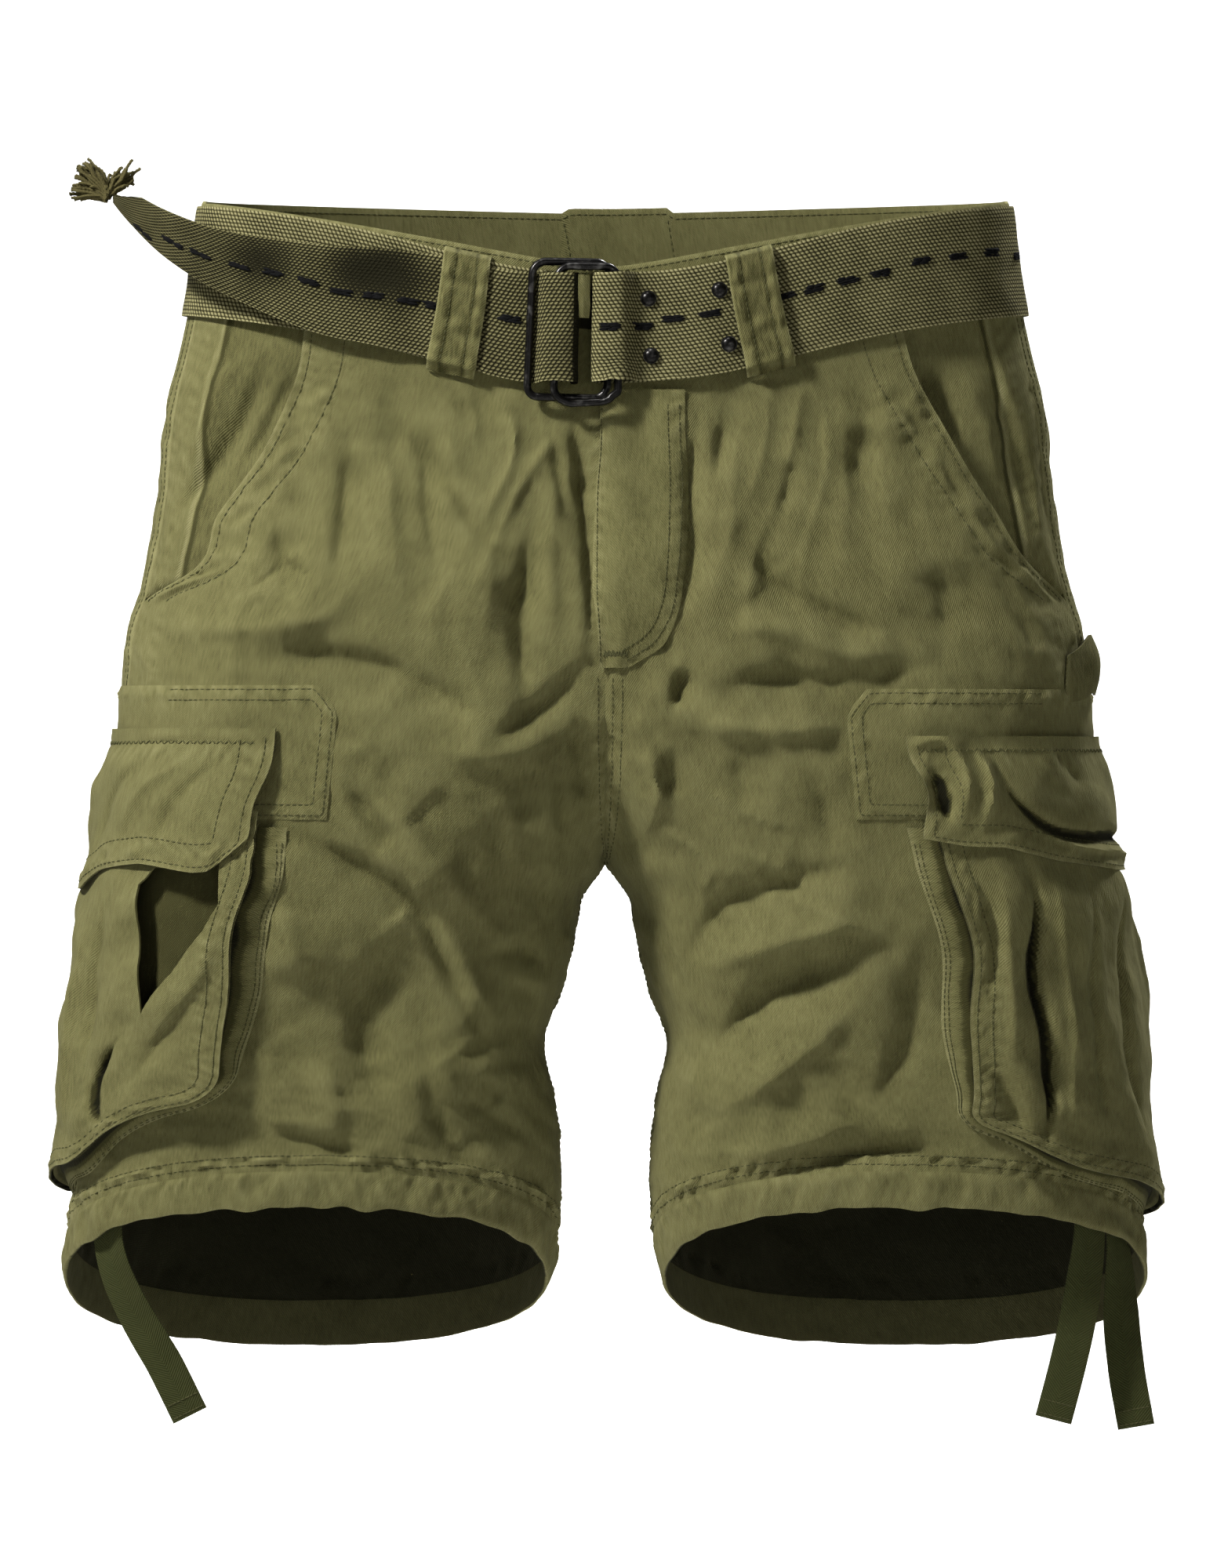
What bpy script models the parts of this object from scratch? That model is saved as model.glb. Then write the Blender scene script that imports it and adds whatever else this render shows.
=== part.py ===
"""Cargo shorts worn hollow: cloth panels, waistband, hem casings, cargo pockets, belt and tapes.

Millimetres are used for every size below, and turned into metres where a mesh is made. The origin
is the middle of the waist opening, +X the wearer's left, -Y the front and +Z up. A point of the
cloth is named by its arc (distance forward of the side seam, round the leg), its level (height
before the waist dip and hem rise bend the rows) and out (distance outside the nominal cloth).
"""

import math
import random
from collections import namedtuple

import bmesh
import bpy
import numpy as np

# ---------------------------------------------------------------- driving dimensions (mm)
MM = 0.001
SEAM_GAP = 0.3          # between two pieces that meet at a seam
CLOTH = 1.4             # wall of the twill with its seam allowances
LIE = 0.5               # between a panel and what is laid on it

WAIST_TOP = 11.6        # level of the waistband's upper edge at the side seams
WAIST_SEAM = -30.0      # level where the waistband meets the panels
HEM_SEAM = -517.0       # level where the panels meet the hem casing
HEM_EDGE = -537.5
SIDE_SEAM_TURN = -0.24  # radians forward of the widest point of the ring
ROUNDNESS = 2.3         # exponent of the ring: 2 is an ellipse, more is boxier

FRONT_DIP, BACK_DIP = 35.6, 4.6    # the waist's upper edge hangs this far below its sides
DIP_END = -110.0                   # level where the dip has faded out
HEM_RISE, HEM_RISE_START = 37.0, -400.0  # the hem climbs in front and falls at the back

WAISTBAND_OUT, WAISTBAND_WALL = 0.8, 2.4
HEM_OUT, HEM_WALL = 1.0, 3.0

BELT_WIDTH, BELT_THICK = 56.0, 1.6
UNDER_LAYER, UPPER_LAYER = 2.5, 4.6      # out of the strap's two layers, at their middle
WIRE = 2.0                               # radius of the buckle rings' wire
TAPE_WIDTH, TAPE_THICK = 19.0, 1.4

Section = namedtuple("Section", "level outer inner front back")
SECTIONS = [            # one leg's ring: outer and inner reach in x, depth in front and behind
    Section(12, 205, -205, 75, 75),
    Section(-30, 210, -210, 77.2, 79),
    Section(-60, 216, -216, 78.5, 84),
    Section(-94, 224, -224, 81, 93),
    Section(-142, 229, -205, 89, 105),
    Section(-186, 237, -148, 96, 110),
    Section(-209, 244, -122, 98, 111.5),
    Section(-230, 246, -95, 99, 112),
    Section(-270, 248, -50, 98, 110),
    Section(-300, 250, -20, 96, 106),
    Section(-318, 251.5, -5, 94, 103),
    Section(-328, 252, 0.6, 93, 101),
    Section(-342, 254, 11, 91, 98),
    Section(-366, 257, 16, 87, 94),
    Section(-390, 260, 22, 84, 90),
    Section(-414, 263, 31, 82, 87),
    Section(-446, 266, 26, 80, 84),
    Section(-478, 269, 23, 78, 82),
    Section(-510, 273, 24, 77, 80),
    Section(-545, 277, 31, 77, 80),
]

Fold = namedtuple("Fold", "face x1 z1 x2 z2 width height")
FOLDS = [               # a soft ridge (height > 0) or trough, along a line seen from the front
    Fold(-1, -215, -212, -135, -205, 14, 6),
    Fold(-1, -177, -220, -133, -217, 10, -7),
    Fold(-1, -165, -166, -135, -204, 12, 5),
    Fold(-1, -133, -120, -133, -186, 14, -5),
    Fold(-1, -37, -166, -43, -238, 11, -5),
    Fold(-1, -13, -234, -61, -270, 14, -6),
    Fold(-1, -116, -268, -61, -346, 20, 7),
    Fold(-1, -124, -322, -85, -358, 16, -7),
    Fold(-1, -85, -358, -61, -394, 15, -7),
    Fold(-1, -85, -402, -93, -446, 12, -5),
    Fold(-1, 33, -248, 91, -190, 14, 8),
    Fold(-1, 33, -256, 55, -262, 9, -8),
    Fold(-1, 51, -222, 106, -238, 14, -7),
    Fold(-1, 43, -338, 91, -346, 12, -7),
    Fold(-1, 67, -362, 131, -370, 14, 7),
    Fold(-1, 43, -418, 123, -366, 14, -8),
    Fold(-1, 31, -492, 115, -478, 13, -7),
    Fold(-1, 115, -478, 171, -486, 13, -5),
    Fold(1, -30, -205, -120, -180, 15, -7),
    Fold(1, 28, -215, 115, -196, 15, -7),
    Fold(1, -40, -250, -150, -270, 16, 7),
    Fold(1, 45, -262, 150, -255, 16, 7),
    Fold(1, -60, -330, -150, -390, 16, -8),
    Fold(1, 60, -345, 155, -375, 16, -8),
    Fold(1, -80, -430, -160, -410, 14, 6),
    Fold(1, 75, -450, 165, -440, 14, -6),
]

Corner = namedtuple("Corner", "x z")
MOUTH = {               # slanted hip-pocket mouth, from the waistband to the side seam
    -1: [Corner(-152, -50), Corner(-159, -86), Corner(-173, -116), Corner(-197, -150),
         Corner(-213, -180), Corner(-222, -198)],
    1: [Corner(149, -50), Corner(161, -86), Corner(177, -114), Corner(197, -146),
        Corner(219, -178), Corner(230, -198)],
}
MOUTH_END = -193.0      # level where the mouth reaches the side seam
UNDERLAP = 11.0         # of the side panel behind the front panel

Pocket = namedtuple("Pocket", "side front back top bottom depth corner flap_front flap_back "
                              "flap_top flap_bottom clip")
POCKETS = [
    Pocket(-1, 92, -80, -300, -484, 14.0, 24, 101, -88, -258, -328, 14),
    Pocket(1, 110, -72, -300, -488, 13.0, 12, 120, -80, -262, -320, 4),
]
PATCH = {-1: (-60, 134, -236, -304), 1: (-60, 148, -238, -304)}   # arcs and levels it spans
GUSSET_WALL, GUSSET_FOLD, GUSSET_FLARE = 1.2, 5.0, 5.0
FACE_SLIT = [(44, -336), (80, -352), (42, -400)]                 # arc, level of its corners

Loop = namedtuple("Loop", "name share lean layers")
LOOPS = [               # share of the way from the middle of the front to the middle of the back
    Loop("belt_loop_front_left", 0.152, 6.5, 2),
    Loop("belt_loop_front_right", -0.146, -4, 2),
    Loop("belt_loop_side_left", 0.66, 0, 1),
    Loop("belt_loop_side_right", -0.66, 0, 1),
    Loop("belt_loop_back", 1.0, 0, 1),
]
LOOP_WIDTH, LOOP_THICK = 24.0, 1.4

Strap = namedtuple("Strap", "along out")
STRAP_END = [           # the riveted end: behind, round the loose turn, and forward again
    Strap(58, 2.5), Strap(40, 2.5), Strap(20, 2.5), Strap(4, 2.5), Strap(-3, 3.4),
    Strap(-6.2, 7.8), Strap(-3, 12.4), Strap(3, 13.7), Strap(8.2, 13.4), Strap(12.4, 9.8),
    Strap(15.8, 5.9), Strap(20, 4.7), Strap(40, 4.6), Strap(60, 4.6), Strap(66, 3.8),
    Strap(73, 2.6),
]
STRAP_STOP = -17.5      # where the strap ends and the tail takes over
Tail = namedtuple("Tail", "along out middle width")
TAIL = [                # middle is its height, width narrows to the frayed tip
    Tail(-16.7, 2.5, -56, 56), Tail(-13.6, 3.6, -56, 56), Tail(-12.0, 7.8, -56, 56),
    Tail(-13.8, 12.2, -56, 56), Tail(-18.5, 14.1, -56, 56), Tail(-24.8, 14.2, -56, 56),
    Tail(-29.5, 12.6, -56, 56), Tail(-32.4, 9.0, -56, 56), Tail(-34.4, 5.9, -56, 56),
    Tail(-38, 4.5, -55, 56), Tail(-46, 4.6, -54, 55), Tail(-85, 4.6, -44.5, 52),
    Tail(-115, 4.8, -39.5, 49), Tail(-141, 5.4, -36, 45), Tail(-162, 7.2, -31, 40),
    Tail(-182, 12, -25.5, 34), Tail(-200, 19.5, -19, 29), Tail(-216, 29, -9, 23),
    Tail(-229, 39, 3, 15), Tail(-236, 46, 10, 10),
]
BELT_LINE = [(0, -56), (40, -53), (75, -46), (100, -39.5), (131, -32), (171, -25), (215, -20.5),
             (300, -21), (480, -24)]       # along the waist, height of the belt's middle

Ring = namedtuple("Ring", "name left right top bottom left_out right_out")
RINGS = [               # centre lines of the wire, measured from the strap's middle
    Ring("buckle_ring_outer", -37.6, 2.0, 34.0, -35.4, 7.8, 5.8),
    Ring("buckle_ring_inner", -24.8, 6.5, 31.4, -38.2, 11.0, 10.1),
]
RING_CORNER = 7.0
RIVETS = [(22.0, 14.0), (22.5, -15.0), (58.2, 13.5), (61.0, -14.5)]   # along, above the middle

Knot = namedtuple("Knot", "x y z turn")
TAPES = {               # middles of each tape, top to bottom; turn is about its own length
    "drawstring_tape_right": [
        Knot(-252.0, -44.0, -496.5, -42), Knot(-252.3, -43.9, -506, -42),
        Knot(-252.4, -43.4, -516, -40), Knot(-247.8, -41.5, -536, -28),
        Knot(-238.5, -39.5, -556, -16), Knot(-224.5, -38, -580, -6), Knot(-211, -37.5, -607, 0)],
    "drawstring_tape_left_front": [
        Knot(245.6, -48.9, -494, 36), Knot(245.9, -48.9, -504, 36),
        Knot(245.6, -48.4, -514, 33), Knot(243.5, -46.5, -534, 20), Knot(240.5, -45, -555, 8),
        Knot(235.5, -44.5, -578, 0), Knot(227.5, -44.5, -609, 0)],
    "drawstring_tape_left_side": [
        Knot(259.2, -33.5, -498, 55), Knot(259.7, -33.5, -508, 55),
        Knot(260.4, -33.0, -520, 52), Knot(261.5, -31.5, -540, 34), Knot(262.5, -30.5, -560, 14),
        Knot(265, -30, -584, 4), Knot(270, -30, -613, 0)],
}

TUFT_STRANDS = 20
TUFT_RADIUS, TUFT_HEAD = 1.1, 3.6

OLIVE = (0.155, 0.150, 0.058)
OLIVE_LIGHT = (0.185, 0.178, 0.075)
WEBBING = (0.120, 0.112, 0.042)
TAPE = (0.060, 0.062, 0.022)
GUNMETAL = (0.035, 0.034, 0.034)


# ---------------------------------------------------------------- the body's surface
def curve(xs, ys, x):
    """Smooth curve through a table's points, with slopes from their neighbours."""
    xs, ys = np.asarray(xs, float), np.asarray(ys, float)
    slopes = np.gradient(ys, xs)
    x = np.clip(x, xs[0], xs[-1])
    k = np.clip(np.searchsorted(xs, x) - 1, 0, len(xs) - 2)
    span = xs[k + 1] - xs[k]
    f = (x - xs[k]) / span
    return ((1 + 2 * f) * (1 - f) ** 2 * ys[k] + f * (1 - f) ** 2 * span * slopes[k]
            + f * f * (3 - 2 * f) * ys[k + 1] - f * f * (1 - f) * span * slopes[k + 1])


def ease(x):
    x = np.clip(x, 0.0, 1.0)
    return x * x * (3 - 2 * x)


SECTION_LEVELS = [row.level for row in reversed(SECTIONS)]


def column(name, level):
    return curve(SECTION_LEVELS, [getattr(row, name) for row in reversed(SECTIONS)], level)


def ring_at(level):
    """Centre and half width in x, and the two depths, of one leg's ring."""
    outer, inner = column("outer", level), column("inner", level)
    return (outer + inner) / 2, (outer - inner) / 2, column("front", level), column("back", level)


def ring_point(turn, level):
    """x and y of the ring; turn is 0 at the side, -pi round the front, +pi round the back."""
    centre, half, front, back = ring_at(level)
    power = 2 / ROUNDNESS
    x = centre + half * np.sign(np.cos(turn)) * np.abs(np.cos(turn)) ** power
    depth = np.where(np.asarray(turn) < 0, front, back)
    return x, depth * np.sign(np.sin(turn)) * np.abs(np.sin(turn)) ** power


LEVEL_STEP, ARC_STEP, ARC_MOST = 3.0, 2.0, 560.0
TABLE_LEVELS = np.arange(-546.0, 18.0, LEVEL_STEP)
TABLE_ARCS = np.arange(-ARC_MOST, ARC_MOST + 1, ARC_STEP)
TURNS = np.linspace(-math.pi, math.pi, 1441)


def arcs_of_level(level):
    """Arc of each of TURNS, counted forward from the side seam."""
    x, y = ring_point(TURNS, level)
    length = np.concatenate([[0], np.cumsum(np.hypot(np.diff(x), np.diff(y)))])
    return np.interp(SIDE_SEAM_TURN, TURNS, length) - length


LEVEL_ARCS = np.array([arcs_of_level(level) for level in TABLE_LEVELS])
TURN_TABLE = np.array([np.interp(TABLE_ARCS, arcs[::-1], TURNS[::-1]) for arcs in LEVEL_ARCS])


def level_cell(level):
    where = np.clip((level - TABLE_LEVELS[0]) / LEVEL_STEP, 0, len(TABLE_LEVELS) - 1.001)
    k = where.astype(int)
    return k, where - k


def turn_at(arc, level):
    k, f = level_cell(level)
    where = np.clip((arc + ARC_MOST) / ARC_STEP, 0, len(TABLE_ARCS) - 1.001)
    j = where.astype(int)
    g = where - j
    low = TURN_TABLE[k, j] * (1 - g) + TURN_TABLE[k, j + 1] * g
    high = TURN_TABLE[k + 1, j] * (1 - g) + TURN_TABLE[k + 1, j + 1] * g
    return low * (1 - f) + high * f


def arc_at(turn, level):
    k, f = level_cell(level)
    where = np.clip((turn + math.pi) / (TURNS[1] - TURNS[0]), 0, len(TURNS) - 1.001)
    j = where.astype(int)
    g = where - j
    low = LEVEL_ARCS[k, j] * (1 - g) + LEVEL_ARCS[k, j + 1] * g
    high = LEVEL_ARCS[k + 1, j] * (1 - g) + LEVEL_ARCS[k + 1, j + 1] * g
    return low * (1 - f) + high * f


def turn_of_x(x, level):
    """Turn of the front of the ring where it reaches |x|."""
    centre, half, _, _ = ring_at(level)
    reach = np.clip((np.abs(x) - centre) / half, -1, 1)
    return -np.arccos(np.sign(reach) * np.abs(reach) ** (ROUNDNESS / 2))


def end_turn(level, face):
    """Turn of the centre seam or inseam: face is -1 in front, 1 behind."""
    centre, half, _, _ = ring_at(level)
    reach = np.clip((SEAM_GAP / 2 - centre) / half, -1, 1)
    return face * np.arccos(np.sign(reach) * np.abs(reach) ** (ROUNDNESS / 2))


def lift(x, y, level):
    """How far a row is bent up or down there, by the waist's dip and the hem's rise."""
    centre, half, front, back = ring_at(level)
    forward = y < 0
    inward = 1.08 - np.sqrt((x / (centre + half)) ** 2 + 0.0064)
    dip = np.clip(inward, 0, 1) ** 1.2 * np.where(forward, FRONT_DIP, BACK_DIP)
    fade = ease((level - DIP_END) / (WAIST_TOP - DIP_END))
    rise = HEM_RISE * ease((HEM_RISE_START - level) / (HEM_RISE_START - HEM_EDGE))
    return -dip * fade - rise * y / np.where(forward, front, back)


def fold_height(x, z, face):
    """Folds at a place seen from the front (face -1) or behind (face 1)."""
    total = np.zeros(np.broadcast(x, z).shape)
    for fold in FOLDS:
        run = np.array([fold.x2 - fold.x1, fold.z2 - fold.z1], float)
        length = np.hypot(*run)
        ahead = ((x - fold.x1) * run[0] + (z - fold.z1) * run[1]) / length
        beside = ((z - fold.z1) * run[0] - (x - fold.x1) * run[1]) / length
        past = np.maximum(np.maximum(-ahead, ahead - length), 0)
        height = fold.height * np.exp(-(beside / fold.width) ** 2 - (past / (1.3 * fold.width)) ** 2)
        total += np.where(face == fold.face, height, 0)
    return total


def skin(side, arc, level):
    """The nominal cloth, folds included, in world millimetres."""
    turn = turn_at(arc, level)
    x, y = ring_point(turn, level)
    z = level + lift(x, y, level)
    face = np.where(y < 0, -1, 1)
    _, half, front, back = ring_at(level)
    depth = np.where(y < 0, front, back)
    fade = ease(np.abs(y) / depth / 0.6) * ease((level + 524) / 22) * ease((-74 - level) / 30)
    height = fold_height(side * x, z, face) * fade
    grow = 1 + height / depth
    return np.stack([side * x, y * grow, z], axis=-1)


def cloth(side, arc, level, out=0.0):
    """Points of the cloth moved out along its normal."""
    side, arc, level, out = np.broadcast_arrays(
        *(np.asarray(value, float) for value in (side, arc, level, out)))
    around = skin(side, arc + 1.5, level) - skin(side, arc - 1.5, level)
    upward = skin(side, arc, level + 1.5) - skin(side, arc, level - 1.5)
    normal = np.cross(upward, around) * side[..., None]
    normal /= np.linalg.norm(normal, axis=-1, keepdims=True)
    return skin(side, arc, level) + normal * out[..., None]


def level_under(x, z):
    """Level of the front of the cloth at a place seen from the front."""
    level = np.array(z, float)
    for _ in range(30):
        turn = turn_of_x(x, level)
        across, y = ring_point(turn, level)
        level = level + 0.7 * (z - lift(across, y, level) - level)
    return level


def front_cloth(x, z, out):
    """Points laid on the front, from places seen from the front."""
    x, z = np.broadcast_arrays(np.asarray(x, float), np.asarray(z, float))
    level = level_under(x, z)
    return cloth(np.where(x < 0, -1, 1), arc_at(turn_of_x(x, level), level), level, out)


# ---------------------------------------------------------------- meshes and materials
def start():
    for thing in list(bpy.data.objects):
        bpy.data.objects.remove(thing, do_unlink=True)
    parts = bpy.data.collections.new("cargo_shorts")
    cutters = bpy.data.collections.new("cargo_shorts_cutters")
    bpy.context.scene.collection.children.link(parts)
    bpy.context.scene.collection.children.link(cutters)
    return parts, cutters


PARTS, CUTTERS = start()


def material(name, colour, roughness, metallic=0.0):
    made = bpy.data.materials.get(name) or bpy.data.materials.new(name)
    made.use_nodes = True
    shader = made.node_tree.nodes["Principled BSDF"]
    shader.inputs["Base Color"].default_value = (*colour, 1)
    shader.inputs["Roughness"].default_value = roughness
    shader.inputs["Metallic"].default_value = metallic
    return made


def add_object(name, data, finish, collection=None):
    made = bpy.data.objects.new(name, data)
    (collection or PARTS).objects.link(made)
    data.materials.append(finish)
    return made


def shell(name, outer, inner, colour, smooth=False):
    """A closed wall between two grids of points (mm) of the same shape."""
    rows, columns = outer.shape[:2]
    points = np.concatenate([outer.reshape(-1, 3), inner.reshape(-1, 3)]) * MM
    index = np.arange(rows * columns).reshape(rows, columns)
    quads = np.stack([index[:-1, :-1], index[1:, :-1], index[1:, 1:], index[:-1, 1:]],
                     axis=-1).reshape(-1, 4)
    rim = np.concatenate([index[0, :], index[1:, -1], index[-1, -2::-1], index[-2:0:-1, 0]])
    back = rows * columns
    faces = [tuple(quad) for quad in quads] + [tuple(quad[::-1] + back) for quad in quads]
    for here, after in zip(rim, np.roll(rim, -1)):
        faces.append((here, after, after + back, here + back))
    data = bpy.data.meshes.new(name)
    data.from_pydata(points.tolist(), [], [tuple(int(k) for k in face) for face in faces])
    work = bmesh.new()
    work.from_mesh(data)
    bmesh.ops.recalc_face_normals(work, faces=work.faces)
    work.to_mesh(data)
    work.free()
    made = add_object(name, data, material(name, colour, 0.9))
    if smooth:
        data.shade_smooth()
        data.set_sharp_from_angle(angle=math.radians(40))
    return made


def cloth_wall(name, side, arc, level, out, wall, colour):
    """A wall laid on the cloth over a grid of arcs and levels, its outer face at out."""
    out = np.broadcast_to(np.asarray(out, float), arc.shape)
    return shell(name, cloth(side, arc, level, out), cloth(side, arc, level, out - wall), colour)


# ---------------------------------------------------------------- panels
def side_name(side):
    return "left" if side > 0 else "right"


PANEL_LEVELS = np.concatenate([
    np.linspace(WAIST_SEAM, -296, 14), [-309, -318, -325, -332, -343],
    np.linspace(-358, HEM_SEAM, 9)])
PANEL_LEVELS[0] -= SEAM_GAP / 2
PANEL_LEVELS[-1] += SEAM_GAP / 2
PANEL_COLUMNS = 14


def mouth_arc(side, level):
    """Arc of the pocket mouth at a level, 0 below its lower end."""
    x = np.array([corner.x for corner in MOUTH[side]], float)
    z = np.array([corner.z for corner in MOUTH[side]], float)
    levels = level_under(x, z)
    arcs = arc_at(turn_of_x(x, levels), levels)
    arcs[-1] = 0.0
    levels[-1] = MOUTH_END
    order = np.argsort(levels)
    return np.maximum(np.interp(level, levels[order], arcs[order], left=0.0), 0.0)


def front_panel(side):
    level = PANEL_LEVELS[:, None]
    first = np.maximum(mouth_arc(side, level), SEAM_GAP / 2)
    first_turn = turn_at(first, level)
    share = np.linspace(0, 1, PANEL_COLUMNS)[None, :]
    arc = arc_at(first_turn + (end_turn(level, -1) - first_turn) * share, level)
    arc[:, :1] = first
    arc = np.minimum(arc, arc_at(np.full_like(level, -math.pi), level) - SEAM_GAP / 2)
    cloth_wall("front_panel_" + side_name(side), side, arc, level + 0 * arc, 0, CLOTH, OLIVE)


def back_panel(side):
    level = PANEL_LEVELS[:, None]
    first_turn = turn_at(np.full_like(level, -SEAM_GAP / 2), level)
    share = np.linspace(0, 1, PANEL_COLUMNS)[None, :]
    arc = arc_at(first_turn + (end_turn(level, 1) - first_turn) * share, level)
    arc = np.maximum(arc, arc_at(np.full_like(level, math.pi), level) + SEAM_GAP / 2)
    cloth_wall("back_panel_" + side_name(side), side, arc, level + 0 * arc, 0, CLOTH, OLIVE)


def hip_pocket_panel(side):
    """The facing behind the mouth, sunk under the front panel's edge."""
    above = int(np.sum(PANEL_LEVELS > MOUTH_END))
    level = PANEL_LEVELS[:above + 1, None]
    mouth = mouth_arc(side, level)
    share = np.array([0, 0.3, 0.6, 0.85, 1.0])[None, :]
    arc = SEAM_GAP / 2 + (mouth + UNDERLAP - SEAM_GAP / 2) * share
    sunk = (CLOTH + 3.0) * np.where(mouth > 3, ease((arc - SEAM_GAP) / np.maximum(mouth - 1.5, 1)), 1)
    cloth_wall("hip_pocket_panel_" + side_name(side), side, arc, level + 0 * arc, -sunk, CLOTH,
               OLIVE)


def fly_placket():
    """J-shaped placket whose edge laps over the centre seam."""
    edge = [(-86.5, -2, 40), (-98, -2, 40), (-147, -4, 41), (-180, -5, 39), (-204, -4, 35),
            (-218, -3.5, 27), (-227, -3, 12)]
    z = np.array([row[0] for row in edge], float)[:, None]
    near = np.array([row[1] for row in edge], float)[:, None]
    far = np.array([row[2] for row in edge], float)[:, None]
    x = near + (far - near) * np.linspace(0, 1, 6)[None, :]
    grids = [front_cloth(x, z + 0 * x, out) for out in (0.9 + 1.3, 0.9)]
    shell("fly_placket", *grids, OLIVE)


# ---------------------------------------------------------------- waistband and hems
def band(name, side, face, levels, columns, out, wall, colour):
    """A strip of the ring from the side seam to the centre seam or inseam."""
    level = np.asarray(levels, float)[:, None]
    first_turn = turn_at(np.full_like(level, -face * SEAM_GAP / 2), level)
    share = np.linspace(0, 1, columns)[None, :]
    arc = arc_at(first_turn + (end_turn(level, face) - first_turn) * share, level)
    stop = arc_at(np.full_like(level, face * math.pi), level)
    arc = np.minimum(arc, stop - SEAM_GAP / 2) if face < 0 else np.maximum(arc, stop + SEAM_GAP / 2)
    cloth_wall(name, side, arc, level + 0 * arc, out, wall, colour)


def waistband():
    levels = [WAIST_TOP, -9.0, WAIST_SEAM + SEAM_GAP / 2]
    for side in (-1, 1):
        band("waistband_front_" + side_name(side), side, -1, levels, PANEL_COLUMNS, WAISTBAND_OUT,
             WAISTBAND_WALL, OLIVE)
    level = np.array(levels)[:, None]
    turns = turn_at(np.full_like(level, -SEAM_GAP / 2), level)
    share = np.linspace(0, 1, PANEL_COLUMNS)[None, :]
    half = arc_at(turns + (math.pi / 2 - turns) * share, level)
    left = [cloth(1, half, level + 0 * half, out) for out in
            (WAISTBAND_OUT, WAISTBAND_OUT - WAISTBAND_WALL)]
    right = [cloth(-1, half, level + 0 * half, out)[:, ::-1] for out in
             (WAISTBAND_OUT, WAISTBAND_OUT - WAISTBAND_WALL)]
    outer, inner = (np.concatenate([a, b[:, 1:]], axis=1) for a, b in zip(left, right))
    shell("waistband_back", outer, inner, OLIVE)


def hem_casings():
    levels = [HEM_SEAM - SEAM_GAP / 2, -527.0, HEM_EDGE]
    for side in (-1, 1):
        for face, label in ((-1, "front"), (1, "back")):
            band(f"hem_casing_{label}_{side_name(side)}", side, face, levels, PANEL_COLUMNS, HEM_OUT,
                 HEM_WALL, OLIVE)


# ---------------------------------------------------------------- cargo pockets
def pocket_depth(pocket, level):
    return pocket.depth * (0.55 + 0.45 * ease((pocket.top - level) / 60))


def pocket_rim(pocket, count):
    """Arc, level and outward direction along the pocket's sides and bottom."""
    r = pocket.corner
    side_top = pocket.top - 8
    path = [(pocket.front, level, 1.0, 0.0)
            for level in np.linspace(side_top, pocket.bottom + r, count, endpoint=False)]
    for angle in np.linspace(0, math.pi / 2, 5):
        path.append((pocket.front - r + r * math.cos(angle), pocket.bottom + r - r * math.sin(angle),
                     math.cos(angle), -math.sin(angle)))
    across = np.linspace(pocket.front - r, pocket.back + r, count + 2)[1:-1]
    path += [(arc, pocket.bottom, 0.0, -1.0) for arc in across]
    for angle in np.linspace(0, math.pi / 2, 5):
        path.append((pocket.back + r - r * math.sin(angle), pocket.bottom + r - r * math.cos(angle),
                     -math.sin(angle), -math.cos(angle)))
    path += [(pocket.back, level, -1.0, 0.0)
             for level in np.linspace(pocket.bottom + r, side_top, count + 1)[1:]]
    return np.array(path)


def cargo_gusset(pocket):
    """Bellows strip between the leg and the pocket's face, folded inward at half depth."""
    path = pocket_rim(pocket, 8)
    arc, level, forward, upward = path.T[:, :, None]
    depth = pocket_depth(pocket, level)
    shift = np.array([GUSSET_FLARE, -GUSSET_FOLD * 0.4, -GUSSET_FOLD, -2.2])[None, :]
    height = np.array([0.0, 0.33, 0.62, 1.0])[None, :]
    out = 0.9 + (depth - CLOTH - 0.95 - 0.9) * height
    grids = [cloth(pocket.side, arc + forward * (shift + thick), level + upward * (shift + thick),
                   out) for thick in (GUSSET_WALL / 2, -GUSSET_WALL / 2)]
    shell("cargo_gusset_" + side_name(pocket.side), *grids, OLIVE)


def cargo_face(pocket):
    level = np.linspace(pocket.top, pocket.bottom, 13)[:, None]
    short = np.maximum(pocket.bottom + pocket.corner - level, 0)
    pull = pocket.corner - np.sqrt(np.maximum(pocket.corner ** 2 - short ** 2, 0))
    arc = (pocket.front - pull) + (pocket.back - pocket.front + 2 * pull) * (
        np.linspace(0, 1, 15)[None, :])
    out = pocket_depth(pocket, level) + 0 * arc
    if pocket.side > 0:
        ends = ease((pocket.top - level) / 30) * ease((level - pocket.bottom - 14) / 30)
        out = out - 5.0 * np.exp(-((arc - 48) / 9) ** 2) * ends
    face = cloth_wall("cargo_face_" + side_name(pocket.side), pocket.side, arc, level + 0 * arc,
                      out, CLOTH, OLIVE)
    if pocket.side < 0:
        cut_slit(face, pocket)


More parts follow.
